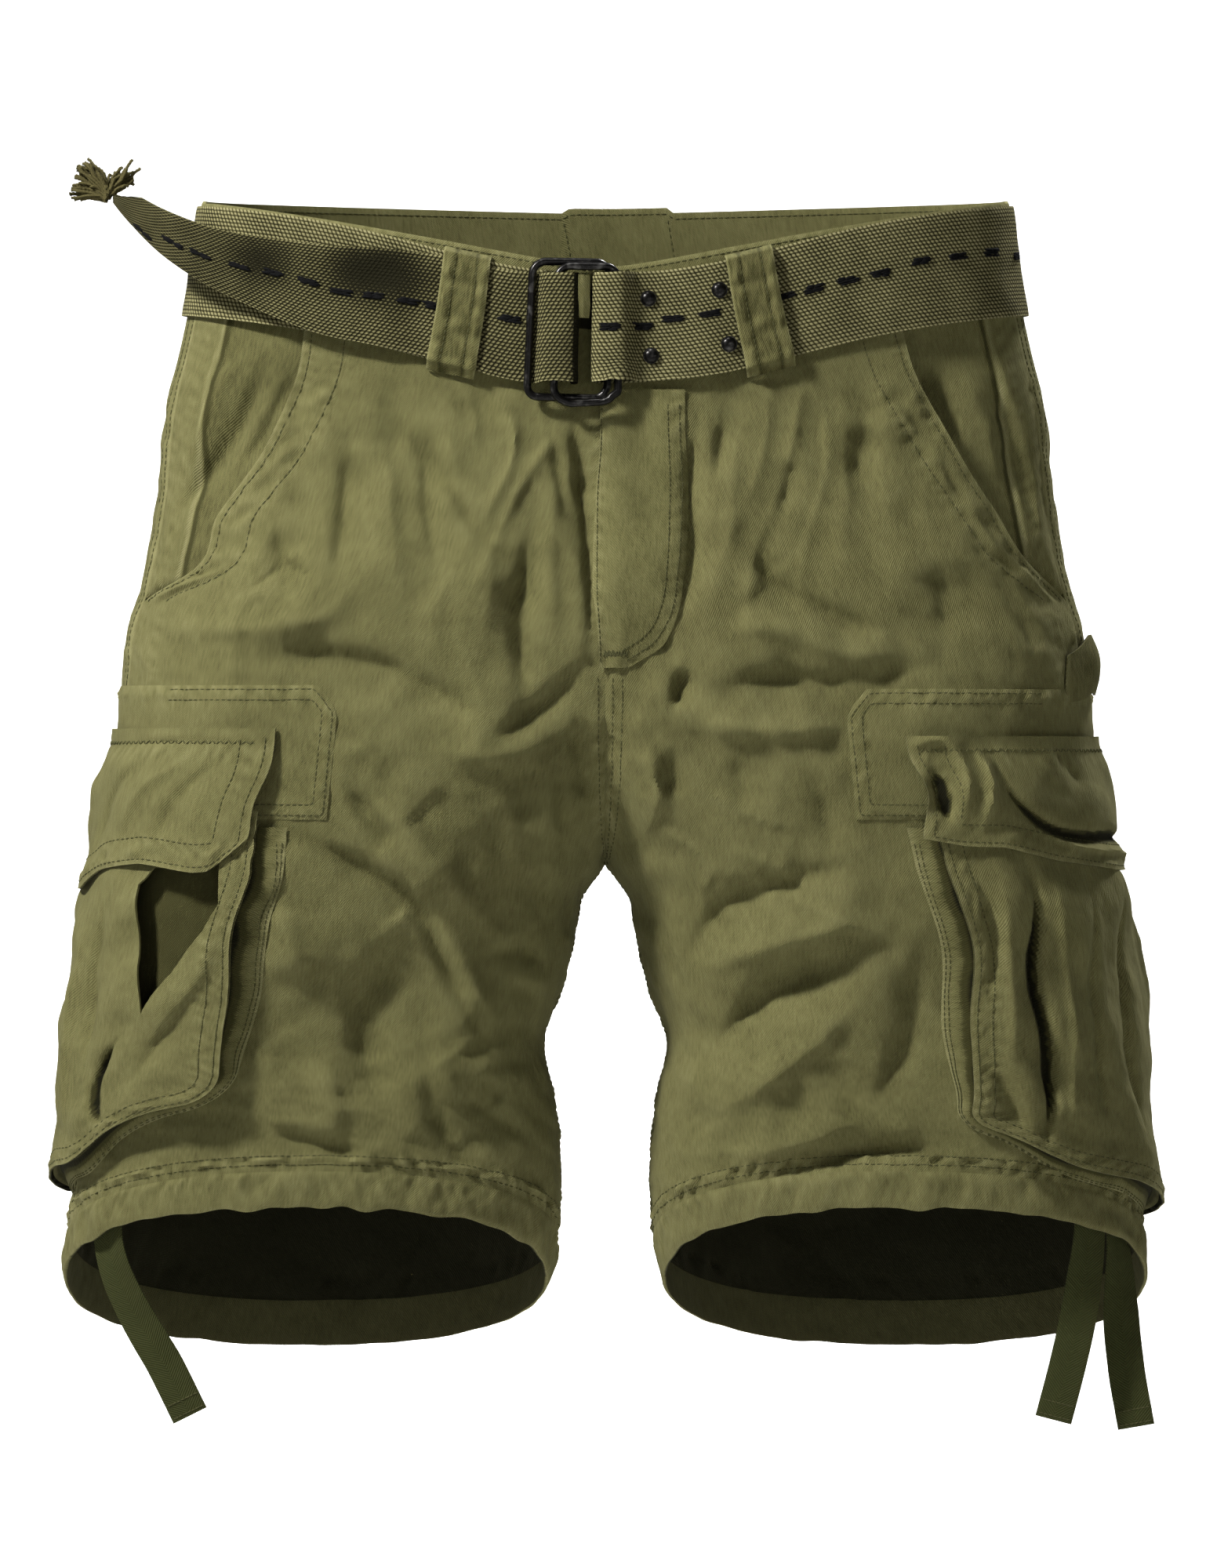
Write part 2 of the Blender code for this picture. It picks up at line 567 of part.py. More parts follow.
def cut_slit(face, pocket):
    """Cuts the open side entry through the pocket's face."""
    arc, level = np.array(FACE_SLIT, float).T
    low = cloth(pocket.side, arc, level, pocket.depth * 0.3)
    high = cloth(pocket.side, arc, level, pocket.depth * 2.2)
    data = bpy.data.meshes.new("cargo_slit_cutter")
    data.from_pydata((np.concatenate([low, high]) * MM).tolist(), [],
                     [(0, 1, 2), (5, 4, 3), (0, 3, 4, 1), (1, 4, 5, 2), (2, 5, 3, 0)])
    work = bmesh.new()
    work.from_mesh(data)
    bmesh.ops.recalc_face_normals(work, faces=work.faces)
    work.to_mesh(data)
    work.free()
    cutter = add_object("cargo_slit_cutter", data, face.data.materials[0], CUTTERS)
    cutter.hide_render = True
    cutter.display_type = "WIRE"
    cut = face.modifiers.new("slit", "BOOLEAN")
    cut.operation = "DIFFERENCE"
    cut.object = cutter


def cargo_flap(pocket):
    share = np.linspace(0, 1, 7)[:, None]
    arc = np.linspace(pocket.flap_front, pocket.flap_back, 14)[None, :]
    from_edge = np.minimum(pocket.flap_front - arc, arc - pocket.flap_back)
    bottom = pocket.flap_bottom + pocket.clip * ease(1 - from_edge / 26)
    level = pocket.flap_top + (bottom - pocket.flap_top) * share
    arc = arc + 0 * level
    over = pocket_depth(pocket, level) + 1.0
    lowest = LIE + CLOTH + 0.7
    drop = (pocket.flap_top - level) / (pocket.flap_top - pocket.top)
    inner = lowest + (over - lowest) * ease(drop)
    cloth_wall("cargo_flap_" + side_name(pocket.side), pocket.side, arc, level, inner + 1.8, 1.8,
               OLIVE)


def cargo_patch(pocket):
    back, front, top, bottom = PATCH[pocket.side]
    level = np.linspace(top, bottom, 6)[:, None]
    round_off = 12 * (1 - np.sin(np.pi * np.clip((top - level) / 36, 0, 0.5)))
    arc = front - round_off + (back - front + round_off) * np.linspace(0, 1, 15)[None, :]
    cloth_wall("cargo_patch_" + side_name(pocket.side), pocket.side, arc, level + 0 * arc,
               LIE + 0.3 + 1.2, 1.2, OLIVE)


def side_tab():
    """Small folded tab that stands off the side seam above the left cargo pocket."""
    level = np.array([-204, -214, -224, -232])[:, None]
    arc = np.array([[16, 6, -6, -14], [19, 6, -6, -18], [21, 6, -6, -20], [20, 6, -4, -18]], float)
    out = LIE + 1.4 + np.array([[0, 3, 6, 4], [0, 5, 10, 8], [0, 4, 8, 6], [0, 2, 4, 3]], float)
    cloth_wall("side_tab_left", 1, arc, level + 0 * arc, out, CLOTH, OLIVE_LIGHT)


# ---------------------------------------------------------------- belt
def half_waist(level):
    """Distance round the waist from the middle of the front to the middle of the back."""
    turn = np.full(np.shape(level), math.pi / 2)
    return arc_at(-turn, level) - arc_at(turn, level)


WAIST_HALF = float(half_waist(np.array(-30.0)))


def belt_middle(along):
    return curve(*np.array(BELT_LINE, float).T, np.abs(along))


def at_waist(along, height, out):
    """A point by its distance round the waist from the middle of the front, height and out."""
    along, height, out = np.broadcast_arrays(
        *(np.asarray(value, float) for value in (along, height, out)))
    side = np.where(along < 0, -1, 1)
    level = np.array(height)
    for _ in range(30):
        share = np.minimum(np.abs(along) / WAIST_HALF, 1)
        front_arc = arc_at(np.full_like(level, -math.pi / 2), level)
        arc = front_arc - share * half_waist(level)
        x, y = ring_point(turn_at(arc, level), level)
        level = level + 0.7 * (height - lift(x, y, level) - level)
    return cloth(side, arc, level, out)


def spline(rows, spacing):
    """Evenly spaced points on a smooth curve through the rows (2-D array)."""
    rows = np.asarray(rows, float)
    length = np.concatenate([[0], np.cumsum(np.hypot(*np.diff(rows[:, :2], axis=0).T))])
    count = max(int(round(length[-1] / spacing)), 2)
    at = np.linspace(0, length[-1], count + 1)
    return np.stack([curve(length, values, at) for values in rows.T], axis=-1)


def ribbon(name, path, middle, width, thick, colour):
    """Webbing on a path of (along, out), standing on edge; middle and width are per point."""
    ahead = np.gradient(path, axis=0)
    ahead /= np.linalg.norm(ahead, axis=1, keepdims=True)
    beside = np.stack([-ahead[:, 1], ahead[:, 0]], axis=-1) * thick / 2
    height = middle[:, None] + width[:, None] * np.array([0.5, 0.0, -0.5])[None, :]
    grids = [at_waist((path[:, 0] + sign * beside[:, 0])[:, None], height,
                      (path[:, 1] + sign * beside[:, 1])[:, None]) for sign in (1, -1)]
    return shell(name, *grids, colour, smooth=True)


def belt_strap():
    """Riveted end, then once round the waist to the buckle's far side."""
    end = spline(STRAP_END, 2.8)
    full = 2 * WAIST_HALF
    round_waist = np.arange(STRAP_END[-1].along + 10, full + STRAP_STOP, 10.5)
    tail = np.append(round_waist[:-1], full + STRAP_STOP)
    path = np.concatenate([end, np.stack([tail, np.full_like(tail, UNDER_LAYER)], axis=-1)])
    along = np.where(path[:, 0] > WAIST_HALF, path[:, 0] - full, path[:, 0])
    ahead = np.gradient(path, axis=0)
    ahead /= np.linalg.norm(ahead, axis=1, keepdims=True)
    middle = belt_middle(along)
    height = middle[:, None] + BELT_WIDTH * np.array([0.5, 0.0, -0.5])[None, :]
    grids = []
    for sign in (1, -1):
        moved = path[:, 0] - sign * ahead[:, 1] * BELT_THICK / 2
        moved = np.where(moved > WAIST_HALF, moved - full, moved)
        out = path[:, 1] + sign * ahead[:, 0] * BELT_THICK / 2
        grids.append(at_waist(moved[:, None], height, out[:, None]))
    shell("belt_strap", *grids, WEBBING, smooth=True)


def belt_tail():
    rows = spline([(t.along, t.out, t.middle, t.width) for t in TAIL], 4.0)
    ribbon("belt_tail", rows[:, :2], rows[:, 2], rows[:, 3], BELT_THICK, WEBBING)


def belt_loops():
    height = np.array([30.5, 29.2, 28.0, 18, 6, -6, -18, -28.6, -30.2, -33.0])
    for loop in LOOPS:
        layer = (UPPER_LAYER if loop.layers == 2 else UNDER_LAYER) + BELT_THICK / 2 + 0.6
        low = WAISTBAND_OUT + 0.4
        out = np.array([low, (low + layer) / 2, layer, layer + 0.4, layer + 0.5, layer + 0.5,
                        layer + 0.4, layer, (low + layer) / 2, low])[:, None]
        across = np.linspace(-0.5, 0.5, 3)[None, :] * LOOP_WIDTH
        along = loop.share * WAIST_HALF + loop.lean * (height[0] - height[:, None]) / 60 + across
        along = np.where(along > WAIST_HALF, along - 2 * WAIST_HALF, along)
        upright = belt_middle(along) + height[:, None]
        grids = [at_waist(along, upright, out + wall) for wall in (LOOP_THICK, 0.0)]
        shell(loop.name, *grids, OLIVE_LIGHT)


def keeper_tab():
    height = np.linspace(28, 6, 4)[:, None]
    across = np.array([-10.8, -9.3, -7.9])[None, :]
    out = np.array([8.4, 7.6, 6.9])[None, :] + 0 * height
    middle = belt_middle(0.0)
    grids = [at_waist(across + 0 * height, middle + height + 0 * across, out + wall)
             for wall in (1.2, 0.0)]
    shell("belt_keeper_tab", *grids, OLIVE_LIGHT)


def buckle_ring(ring):
    """Rounded rectangle of wire, as a beveled curve."""
    corners = [(ring.right, ring.top, 0), (ring.left, ring.top, 90),
               (ring.left, ring.bottom, 180), (ring.right, ring.bottom, 270)]
    points = []
    for along, height, first in corners:
        for angle in np.radians(first + np.linspace(0, 90, 5)):
            inset_x = along - math.copysign(RING_CORNER, along - (ring.left + ring.right) / 2)
            inset_z = height - math.copysign(RING_CORNER, height)
            points.append((inset_x + RING_CORNER * math.cos(angle),
                           inset_z + RING_CORNER * math.sin(angle)))
    along, height = np.array(points).T
    share = (along - ring.left) / (ring.right - ring.left)
    out = ring.left_out + (ring.right_out - ring.left_out) * share
    world = at_waist(along, belt_middle(0.0) + height, out) * MM
    data = bpy.data.curves.new(ring.name, "CURVE")
    data.dimensions = "3D"
    data.bevel_depth = WIRE * MM
    data.bevel_resolution = 2
    line = data.splines.new("POLY")
    line.points.add(len(world) - 1)
    for point, place in zip(line.points, world):
        point.co = (*place, 1)
    line.use_cyclic_u = True
    add_object(ring.name, data, material("buckle_" + ring.name, GUNMETAL, 0.3, 1.0))


def rivets():
    for number, (along, height) in enumerate(RIVETS, 1):
        middle = belt_middle(along)
        out = UPPER_LAYER + BELT_THICK / 2 + 0.6
        base, tip = (at_waist(along, middle + height, out + extra) for extra in (0.0, 1.0))
        work = bmesh.new()
        bmesh.ops.create_uvsphere(work, u_segments=12, v_segments=6, radius=4.0 * MM)
        flatten = 1.6 / 4.0
        bmesh.ops.scale(work, vec=(1, 1, flatten), verts=work.verts)
        bmesh.ops.translate(work, vec=(0, 0, 1.6 * MM), verts=work.verts)
        data = bpy.data.meshes.new(f"rivet_{number}")
        work.to_mesh(data)
        work.free()
        data.shade_smooth()
        finish = material(f"rivet_{number}", GUNMETAL, 0.3, 1.0)
        made = add_object(f"rivet_{number}", data, finish)
        axis = (tip - base) / np.linalg.norm(tip - base)
        pitch = math.acos(axis[2])
        made.rotation_euler = (0, pitch, math.atan2(axis[1], axis[0]))
        made.location = base * MM


# ---------------------------------------------------------------- tapes and tuft
def tape(name, knots):
    """Flat tape hanging free, turned about its own length at each knot."""
    rows = np.array([(k.x, k.y, k.z, k.turn) for k in knots], float)
    length = np.concatenate([[0], np.cumsum(np.linalg.norm(np.diff(rows[:, :3], axis=0), axis=1))])
    at = np.linspace(0, length[-1], 15)
    smooth = np.stack([curve(length, values, at) for values in rows.T], axis=-1)
    place, turn = smooth[:, :3], np.radians(smooth[:, 3])
    ahead = np.gradient(place, axis=0)
    ahead /= np.linalg.norm(ahead, axis=1, keepdims=True)
    wide = np.stack([np.cos(turn), np.sin(turn), np.zeros_like(turn)], axis=-1)
    wide -= ahead * np.sum(wide * ahead, axis=1, keepdims=True)
    wide /= np.linalg.norm(wide, axis=1, keepdims=True)
    thick = np.cross(ahead, wide) * TAPE_THICK / 2
    across = np.array([-0.5, 0.5])[None, :, None] * TAPE_WIDTH
    grids = [place[:, None] + wide[:, None] * across + sign * thick[:, None] for sign in (1, -1)]
    shell(name, *grids, TAPE)


def strand(work, root, tip, bend, radius):
    """Adds one three-sided strand from root to tip, bowed by bend."""
    rings = []
    for share in (0.0, 0.35, 0.7, 1.0):
        middle = root + (tip - root) * share + bend * math.sin(math.pi * share)
        ahead = (tip - root) / np.linalg.norm(tip - root)
        side_one = np.cross(ahead, [0.0, 1.0, 0.2])
        side_one /= np.linalg.norm(side_one)
        side_two = np.cross(ahead, side_one)
        size = radius * (1.0 - 0.35 * share)
        ring = []
        for angle in (0, 2 * math.pi / 3, 4 * math.pi / 3):
            place = middle + size * (math.cos(angle) * side_one + math.sin(angle) * side_two)
            ring.append(work.verts.new(place * MM))
        rings.append(ring)
    for low, high in zip(rings, rings[1:]):
        for k in range(3):
            work.faces.new((low[k], low[(k + 1) % 3], high[(k + 1) % 3], high[k]))
    work.faces.new(rings[0][::-1])
    work.faces.new(rings[-1])


def belt_tuft():
    """Frayed threads in two locks, their roots in a small whipped knot at the tail's tip."""
    draw = random.Random(7)
    before, end = (at_waist(knot.along, knot.middle, knot.out) for knot in TAIL[-2:])
    root = end + (end - before) / np.linalg.norm(end - before) * (TUFT_HEAD + 0.9)
    work = bmesh.new()
    locks = [(np.array([-15.0, -3.0, 9.5]), 0.75), (np.array([8.0, 4.0, 12.5]), 0.55)]
    per_lock = TUFT_STRANDS // 2
    for aim, spread in locks:
        for number in range(per_lock):
            angle = 2.4 * number
            radius = spread * 11 * math.sqrt((number + 0.5) / per_lock)
            jitter = np.array([draw.uniform(-1, 1) for _ in range(3)])
            sideways = np.array([math.cos(angle), 0.6 * math.sin(angle), 0.9 * math.sin(angle)])
            tip = root + aim * draw.uniform(0.75, 1.05) + sideways * radius + jitter
            start_at = root + sideways * radius * 0.22 + aim / np.linalg.norm(aim) * 1.6
            strand(work, start_at, tip, jitter * 0.3, TUFT_RADIUS)
    bmesh.ops.recalc_face_normals(work, faces=work.faces)
    strands = bpy.data.meshes.new("tuft_strands")
    work.to_mesh(strands)
    work.free()
    helper = add_object("tuft_strands", strands, material("tuft", WEBBING, 0.95), CUTTERS)
    helper.hide_render = True
    helper.display_type = "WIRE"

    head = bmesh.new()
    bmesh.ops.create_uvsphere(head, u_segments=12, v_segments=8, radius=TUFT_HEAD * MM)
    bmesh.ops.translate(head, vec=root * MM, verts=head.verts)
    data = bpy.data.meshes.new("belt_tuft")
    head.to_mesh(data)
    head.free()
    tuft = add_object("belt_tuft", data, material("tuft", WEBBING, 0.95))
    join = tuft.modifiers.new("strands", "BOOLEAN")
    join.operation = "UNION"
    join.object = helper
    join.use_self = True


# ---------------------------------------------------------------- everything
def build():
    for side in (-1, 1):
        front_panel(side)
        back_panel(side)
        hip_pocket_panel(side)
    fly_placket()
    waistband()
    hem_casings()
    for pocket in POCKETS:
        cargo_patch(pocket)
        cargo_gusset(pocket)
        cargo_face(pocket)
        cargo_flap(pocket)
    side_tab()
    belt_strap()
    belt_tail()
    belt_loops()
    keeper_tab()
    for ring in RINGS:
        buckle_ring(ring)
    rivets()
    for name, knots in TAPES.items():
        tape(name, knots)
    belt_tuft()


build()
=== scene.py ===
"""Cargo shorts worn hollow: finished cloth, stitching, webbing belt, buckle and tapes.

Sizes are millimetres until a mesh is made. The origin is the middle of the waist opening, +X the
wearer's left, -Y the front and +Z up. A point of the cloth is named by its arc (distance forward
of the side seam, round the leg), its level (height before the waist dip and the hem rise bend
the rows) and out (distance outside the nominal cloth).
"""

import math
from collections import namedtuple

import bmesh
import bpy
import numpy as np
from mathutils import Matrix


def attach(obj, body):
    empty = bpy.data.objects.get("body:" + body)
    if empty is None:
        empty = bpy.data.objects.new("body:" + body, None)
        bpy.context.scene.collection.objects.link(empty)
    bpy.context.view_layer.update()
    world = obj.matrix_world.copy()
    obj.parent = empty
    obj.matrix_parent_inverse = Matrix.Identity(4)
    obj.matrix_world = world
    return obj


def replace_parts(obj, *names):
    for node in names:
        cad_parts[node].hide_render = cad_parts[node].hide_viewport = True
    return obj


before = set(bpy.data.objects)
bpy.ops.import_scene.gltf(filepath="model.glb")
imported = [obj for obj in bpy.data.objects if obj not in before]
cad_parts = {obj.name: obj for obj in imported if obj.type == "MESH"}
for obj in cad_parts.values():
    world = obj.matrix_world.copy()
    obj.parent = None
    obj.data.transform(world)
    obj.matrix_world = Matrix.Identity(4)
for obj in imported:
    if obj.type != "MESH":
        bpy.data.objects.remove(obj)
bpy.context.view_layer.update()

# ---------------------------------------------------------------- driving dimensions (mm)
MM = 0.001
SEAM_GAP = -0.3         # two pieces lap by this much at a seam, so no light comes through
CLOTH = 1.4             # wall of the twill with its seam allowances
LIE = 0.5               # between a panel and what is laid on it
SUNK = CLOTH + 3.0      # of the hip pocket's facing behind the front panel
RELIEF, BACK_RELIEF = 1.2, 1.35    # strength of all creases, and of those behind on top of it
FULL_SHADE_FROM = 3.0            # cloth whose wear is this far below 0 begins to be painted in full shade
CREVICE_SHADE = -5.5          # wear that paints shade at the bottom of a fold that no light reaches
SHARP, SHARP_METAL = math.radians(50), math.radians(40)    # edges past this stay sharp

MOUTH_ROWS, SIDE_ROWS, HEM_ROWS = (4.5, 22.0), (3.0, 9.0), (4.5, 10.5)   # stitches from an edge
PATCH_ROWS, FACE_ROWS, FLY_ROWS = (2.2, 7.5), (3.0, 10.0), (3.0, 8.5)

WAIST_TOP = 11.6        # level of the waistband's upper edge at the side seams
WAIST_SEAM = -30.0      # level where the waistband meets the panels
HEM_SEAM = -517.0       # level where the panels meet the hem casing
HEM_EDGE = -537.5
SIDE_SEAM_TURN = -0.24  # radians forward of the widest point of the ring
ROUNDNESS = 2.3         # exponent of the ring: 2 is an ellipse, more is boxier

FRONT_DIP, BACK_DIP = 35.6, 4.6    # the waist's upper edge hangs this far below its sides
DIP_END = -110.0                   # level where the dip has faded out
HEM_RISE, HEM_RISE_START = 37.0, -400.0  # the hem climbs in front and falls at the back

WAISTBAND_OUT, WAISTBAND_WALL = 0.8, 2.4
HEM_OUT, HEM_WALL = 1.0, 3.0

BELT_WIDTH, BELT_THICK = 56.0, 1.6
UNDER_LAYER, UPPER_LAYER = 2.5, 4.6      # out of the strap's two layers, at their middle
WIRE = 2.0                               # radius of the buckle rings' wire
TAPE_WIDTH, TAPE_THICK = 19.0, 1.4

Section = namedtuple("Section", "level outer inner front back")
SECTIONS = [Section(*row) for row in (  # one leg's ring: reach in x, depth in front and behind
    (12, 205, -205, 75, 75),
    (-30, 210, -210, 77.2, 79),
    (-60, 216, -216, 78.5, 84),
    (-94, 224, -224, 81, 93),
    (-142, 229, -205, 89, 105),
    (-186, 237, -148, 96, 110),
    (-209, 244, -122, 98, 111.5),
    (-230, 246, -95, 99, 112),
    (-270, 248, -50, 98, 110),
    (-300, 250, -20, 96, 106),
    (-318, 251.5, -5, 94, 103),
    (-328, 252, 0.6, 93, 101),
    (-342, 254, 11, 91, 98),
    (-366, 257, 16, 87, 94),
    (-390, 260, 22, 84, 90),
    (-414, 263, 31, 82, 87),
    (-446, 266, 26, 80, 84),
    (-478, 269, 23, 78, 82),
    (-510, 273, 24, 77, 80),
    (-545, 277, 31, 77, 80),
)]

Crease = namedtuple("Crease", "width height route")


def creases(*rows):
    return [Crease(width, height, route) for width, height, *route in rows]


FRONT_CREASES = creases(    # ridges (height > 0) and troughs, along routes of x, z seen in front
    (14, 7, (-215, -208), (-165, -205), (-138, -198), (-130, -188)),
    (13, -8, (-182, -222), (-149, -221), (-116, -225), (-88, -238), (-52, -257)),
    (6, -5, (-166, -154), (-164, -171), (-148, -183)),
    (9, 4, (-176, -160), (-178, -185), (-160, -198)),
    (8, -5, (-130, -112), (-133, -150), (-137, -186)),
    (12, 4, (-112, -110), (-108, -160), (-104, -205)),
    (7, -3.5, (-113, -96), (-84, -130), (-58, -165), (-38, -182)),
    (5, -2.5, (-92, -112), (-90, -150), (-84, -182)),
    (9, -6.5, (-38, -158), (-44, -203), (-40, -250)),
    (9, 3.5, (-56, -165), (-64, -222)),
    (6, -7, (-17, -96), (-12, -140), (-8, -180), (-7, -224)),
    (4, -3, (-28, -105), (-22, -140), (-14, -170)),
    (7, 3, (-24, -118), (-28, -180), (-24, -216)),
    (11, -7, (-60, -267), (-30, -244), (-9, -224)),
    (12, 5, (-84, -272), (-46, -270), (-22, -258)),
    (8, -5, (-45, -274), (-41, -312)),
    (9, 5, (-28, -280), (-27, -342)),
    (8, -6, (-15, -256), (-12, -298)),
    (15, 6.5, (-126, -288), (-100, -312), (-76, -340), (-48, -370)),
    (9, -8.5, (-166, -306), (-124, -328), (-99, -345), (-78, -385), (-54, -430)),
    (8, -5.5, (-138, -276), (-118, -304), (-96, -334)),
    (8, 5.5, (-90, -348), (-70, -382), (-48, -418)),
    (6, -6.5, (-60, -372), (-42, -371), (-28, -381)),
    (8, -5, (-52, -384), (-28, -402)),
    (9, -6, (-72, -440), (-54, -458), (-34, -466)),
    (8, 4, (-54, -446), (-36, -428)),
    (21, -8, (-96, -356), (-122, -404), (-110, -462)),
    (18, 5, (-164, -342), (-154, -392)),
    (9, 3.5, (-142, -420), (-134, -468)),
    (7, -3.5, (-92, -420), (-84, -462), (-64, -486)),
    (9, -4, (-170, -462), (-120, -474)),
    (6, -7, (41, -226), (34, -250)),
    (15, -8.5, (48, -240), (87, -233), (131, -236), (168, -226)),
    (11, 6, (38, -256), (94, -259), (132, -255)),
    (12, 5, (58, -213), (74, -207), (131, -221), (160, -218)),
    (8, -5, (84, -146), (80, -178), (109, -197), (160, -213)),
    (8, -3.5, (95, -118), (88, -152)),
    (6, -5, (47, -100), (42, -130), (43, -170), (38, -206)),
    (5, -3, (60, -100), (55, -134)),
    (10, 3, (66, -110), (62, -170)),
    (10, -3.5, (131, -102), (127, -134)),
    (14, -4.5, (170, -170), (172, -216)),
    (6, -6, (4, -280), (8, -306), (18, -336)),
    (7, 5, (18, -258), (26, -294), (20, -314)),
    (7, -3.5, (34, -266), (31, -294)),
    (9, -2.5, (66, -270), (70, -304)),
    (9, -2.5, (106, -286), (114, -322)),
    (13, -7.5, (38, -382), (58, -350), (94, -335), (126, -327)),
    (10, 6.5, (42, -382), (94, -366), (131, -359), (148, -366)),
    (13, -11, (52, -424), (80, -394), (116, -377), (134, -370)),
    (16, 8, (42, -460), (94, -427), (134, -390)),
    (9, 5, (33, -405), (50, -452)),
    (14, -6, (160, -366), (150, -420), (132, -456)),
    (6, -4, (40, -452), (50, -466)),
    (9, -8, (44, -500), (80, -488), (131, -473), (150, -470), (198, -483)),
    (12, 5, (58, -476), (94, -469), (134, -454)),
    (8, 3, (90, -500), (150, -488)),
)
BACK_CREASES = creases(     # the same seen from behind, with x still the wearer's left
    (15, -7, (-30, -205), (-80, -186), (-124, -184)),
    (15, -7, (28, -215), (70, -198), (118, -194)),
    (16, 7, (-40, -250), (-90, -264), (-150, -268)),
    (16, 7, (45, -262), (100, -266), (150, -254)),
    (16, -8, (-60, -330), (-104, -352), (-150, -392)),
    (16, -8, (60, -345), (104, -354), (155, -377)),
    (14, 6, (-80, -430), (-160, -410)),
    (14, -6, (75, -450), (120, -438), (165, -440)),
    (9, -4, (-20, -120), (-26, -160), (-20, -196)),
    (9, -4, (24, -116), (32, -150), (26, -186)),
    (10, 3.5, (-90, -100), (-96, -160)),
    (10, 3.5, (92, -104), (88, -168)),
    (10, 4.5, (-50, -400), (-90, -408), (-130, -430)),
    (10, 4.5, (52, -396), (96, -398), (138, -412)),
    (9, -5, (-60, -470), (-110, -460), (-150, -464)),
    (9, 4.5, (60, -482), (104, -472), (150, -476)),
    (8, -5, (-18, -300), (-40, -330), (-44, -372)),
    (8, -5, (20, -296), (38, -326), (46, -366)),
)

FACING_CREASES = {      # the same on the facings behind the hip-pocket mouths, by arc and level
    -1: creases(
        (8, -6, (50, -62), (44, -95), (26, -128), (12, -150)),
        (9, 2.5, (34, -66), (24, -96), (12, -120)),
        (8, -4, (70, -70), (58, -104), (44, -128))),
    1: creases(
        (15, -6, (62, -60), (58, -90), (48, -118)),
        (12, 1.5, (42, -66), (36, -104), (26, -140)),
        (8, -4.5, (26, -72), (20, -110), (12, -150))),
}
POCKET_CREASES = {      # the same on the cargo pockets' faces
    -1: creases(
        (3.2, -6, (41, -414), (30, -431), (31, -468), (37, -476)),
        (8, 3.5, (92, -354), (74, -392), (52, -424)),
        (7, -3, (82, -384), (66, -410), (50, -444)),
        (6, -4, (22, -345), (16, -386), (20, -436)),
        (8, 3, (8, -350), (2, -410), (6, -470)),
        (10, -4, (-30, -350), (-38, -410), (-30, -466)),
        (10, 4, (-58, -360), (-62, -430))),
    1: creases(
        (3.4, -10, (67, -318), (62, -344), (66, -382), (62, -434), (69, -502)),
        (6, 3.5, (80, -328), (78, -380), (82, -440)),
        (5, -4, (92, -330), (85, -362), (91, -400)),
        (5, -4, (96, -430), (84, -452), (78, -488)),
        (5, 3, (52, -330), (50, -400), (54, -480)),
        (3.5, -3.5, (30, -336), (36, -413), (34, -474)),
        (3.5, -4, (-2, -338), (13, -413), (6, -474)),
        (10, 4, (-30, -345), (-36, -420)),
        (9, -4, (-52, -350), (-56, -440))),
}
FLAP_CREASES = {        # the same on their flaps
    -1: creases(
        (1.8, -1.3, (-88, -266), (0, -265), (104, -265)),
        (6, -2.6, (78, -273), (56, -296), (48, -322)),
        (7, 2.6, (62, -272), (34, -292), (22, -322)),
        (6, -2.4, (36, -272), (8, -296), (2, -326)),
        (8, 2.4, (-16, -272), (-36, -322))),
    1: creases(
        (3.6, -5, (77, -262), (71, -290), (58, -304), (-10, -313), (-74, -314)),
        (5, 5.5, (119, -268), (101, -264), (93, -278), (96, -304)),
        (4.5, -7, (108, -276), (103, -290), (104, -308)),
        (4, 4.5, (86, -266), (81, -284), (86, -308)),
        (2.6, 2.6, (72, -302), (52, -313), (-13, -321), (-74, -322)),
        (8, -2.5, (40, -268), (20, -290))),
}

MOUTH = {               # x, z of the slanted hip-pocket mouth, from the waistband to the side seam
    -1: [(-152, -50), (-159, -86), (-173, -116), (-197, -150), (-213, -180), (-222, -198)],
    1: [(149, -50), (161, -86), (177, -114), (197, -146), (219, -178), (230, -198)],
}
MOUTH_END = -193.0      # level where the mouth reaches the side seam
UNDERLAP = 11.0         # of the side panel behind the front panel

Pocket = namedtuple("Pocket", "name side front back top bottom depth corner flap_front flap_back "
                              "flap_top")
POCKETS = [
    Pocket("right", -1, 92, -80, -300, -484, 14.0, 24, 101, -88, -258),
    Pocket("left", 1, 110, -72, -300, -488, 13.0, 12, 120, -80, -262),
]
FACE_EDGE = {           # level, arc of the face's front edge
    -1: [(-484, 92), (-440, 92), (-400, 93), (-362, 95), (-347, 98), (-300, 100)],
    1: [(-488, 104), (-467, 101), (-417, 99), (-366, 96), (-343, 102), (-300, 110)],
}
FACE_SAG = {            # arc, how far the bottom edge hangs above (+) or below its even line
    -1: [(-80, 0), (0, -6), (18, -8), (39, 8), (60, 18), (92, 24)],
    1: [(-72, -6), (12, -16), (70, -14), (95, 2), (110, 8)],
}
FLAP_LOW = {            # arc, level of the flap's lower edge
    -1: [(-88, -336), (-8, -341), (14, -331), (41, -327), (76, -331), (84, -330), (101, -314)],
    1: [(-80, -331), (3, -331), (49, -325), (77, -318), (100, -317), (120, -313)],
}
FLAP_EDGE = {           # level, arc of its front edge
    -1: [(-335, 94), (-318, 97), (-297, 98), (-278, 104), (-257, 104)],
    1: [(-335, 114), (-313, 116), (-287, 112), (-273, 118), (-262, 119)],
}
PATCH = {-1: (-60, 134, -236, -304), 1: (-60, 148, -238, -304)}   # arcs and levels it spans
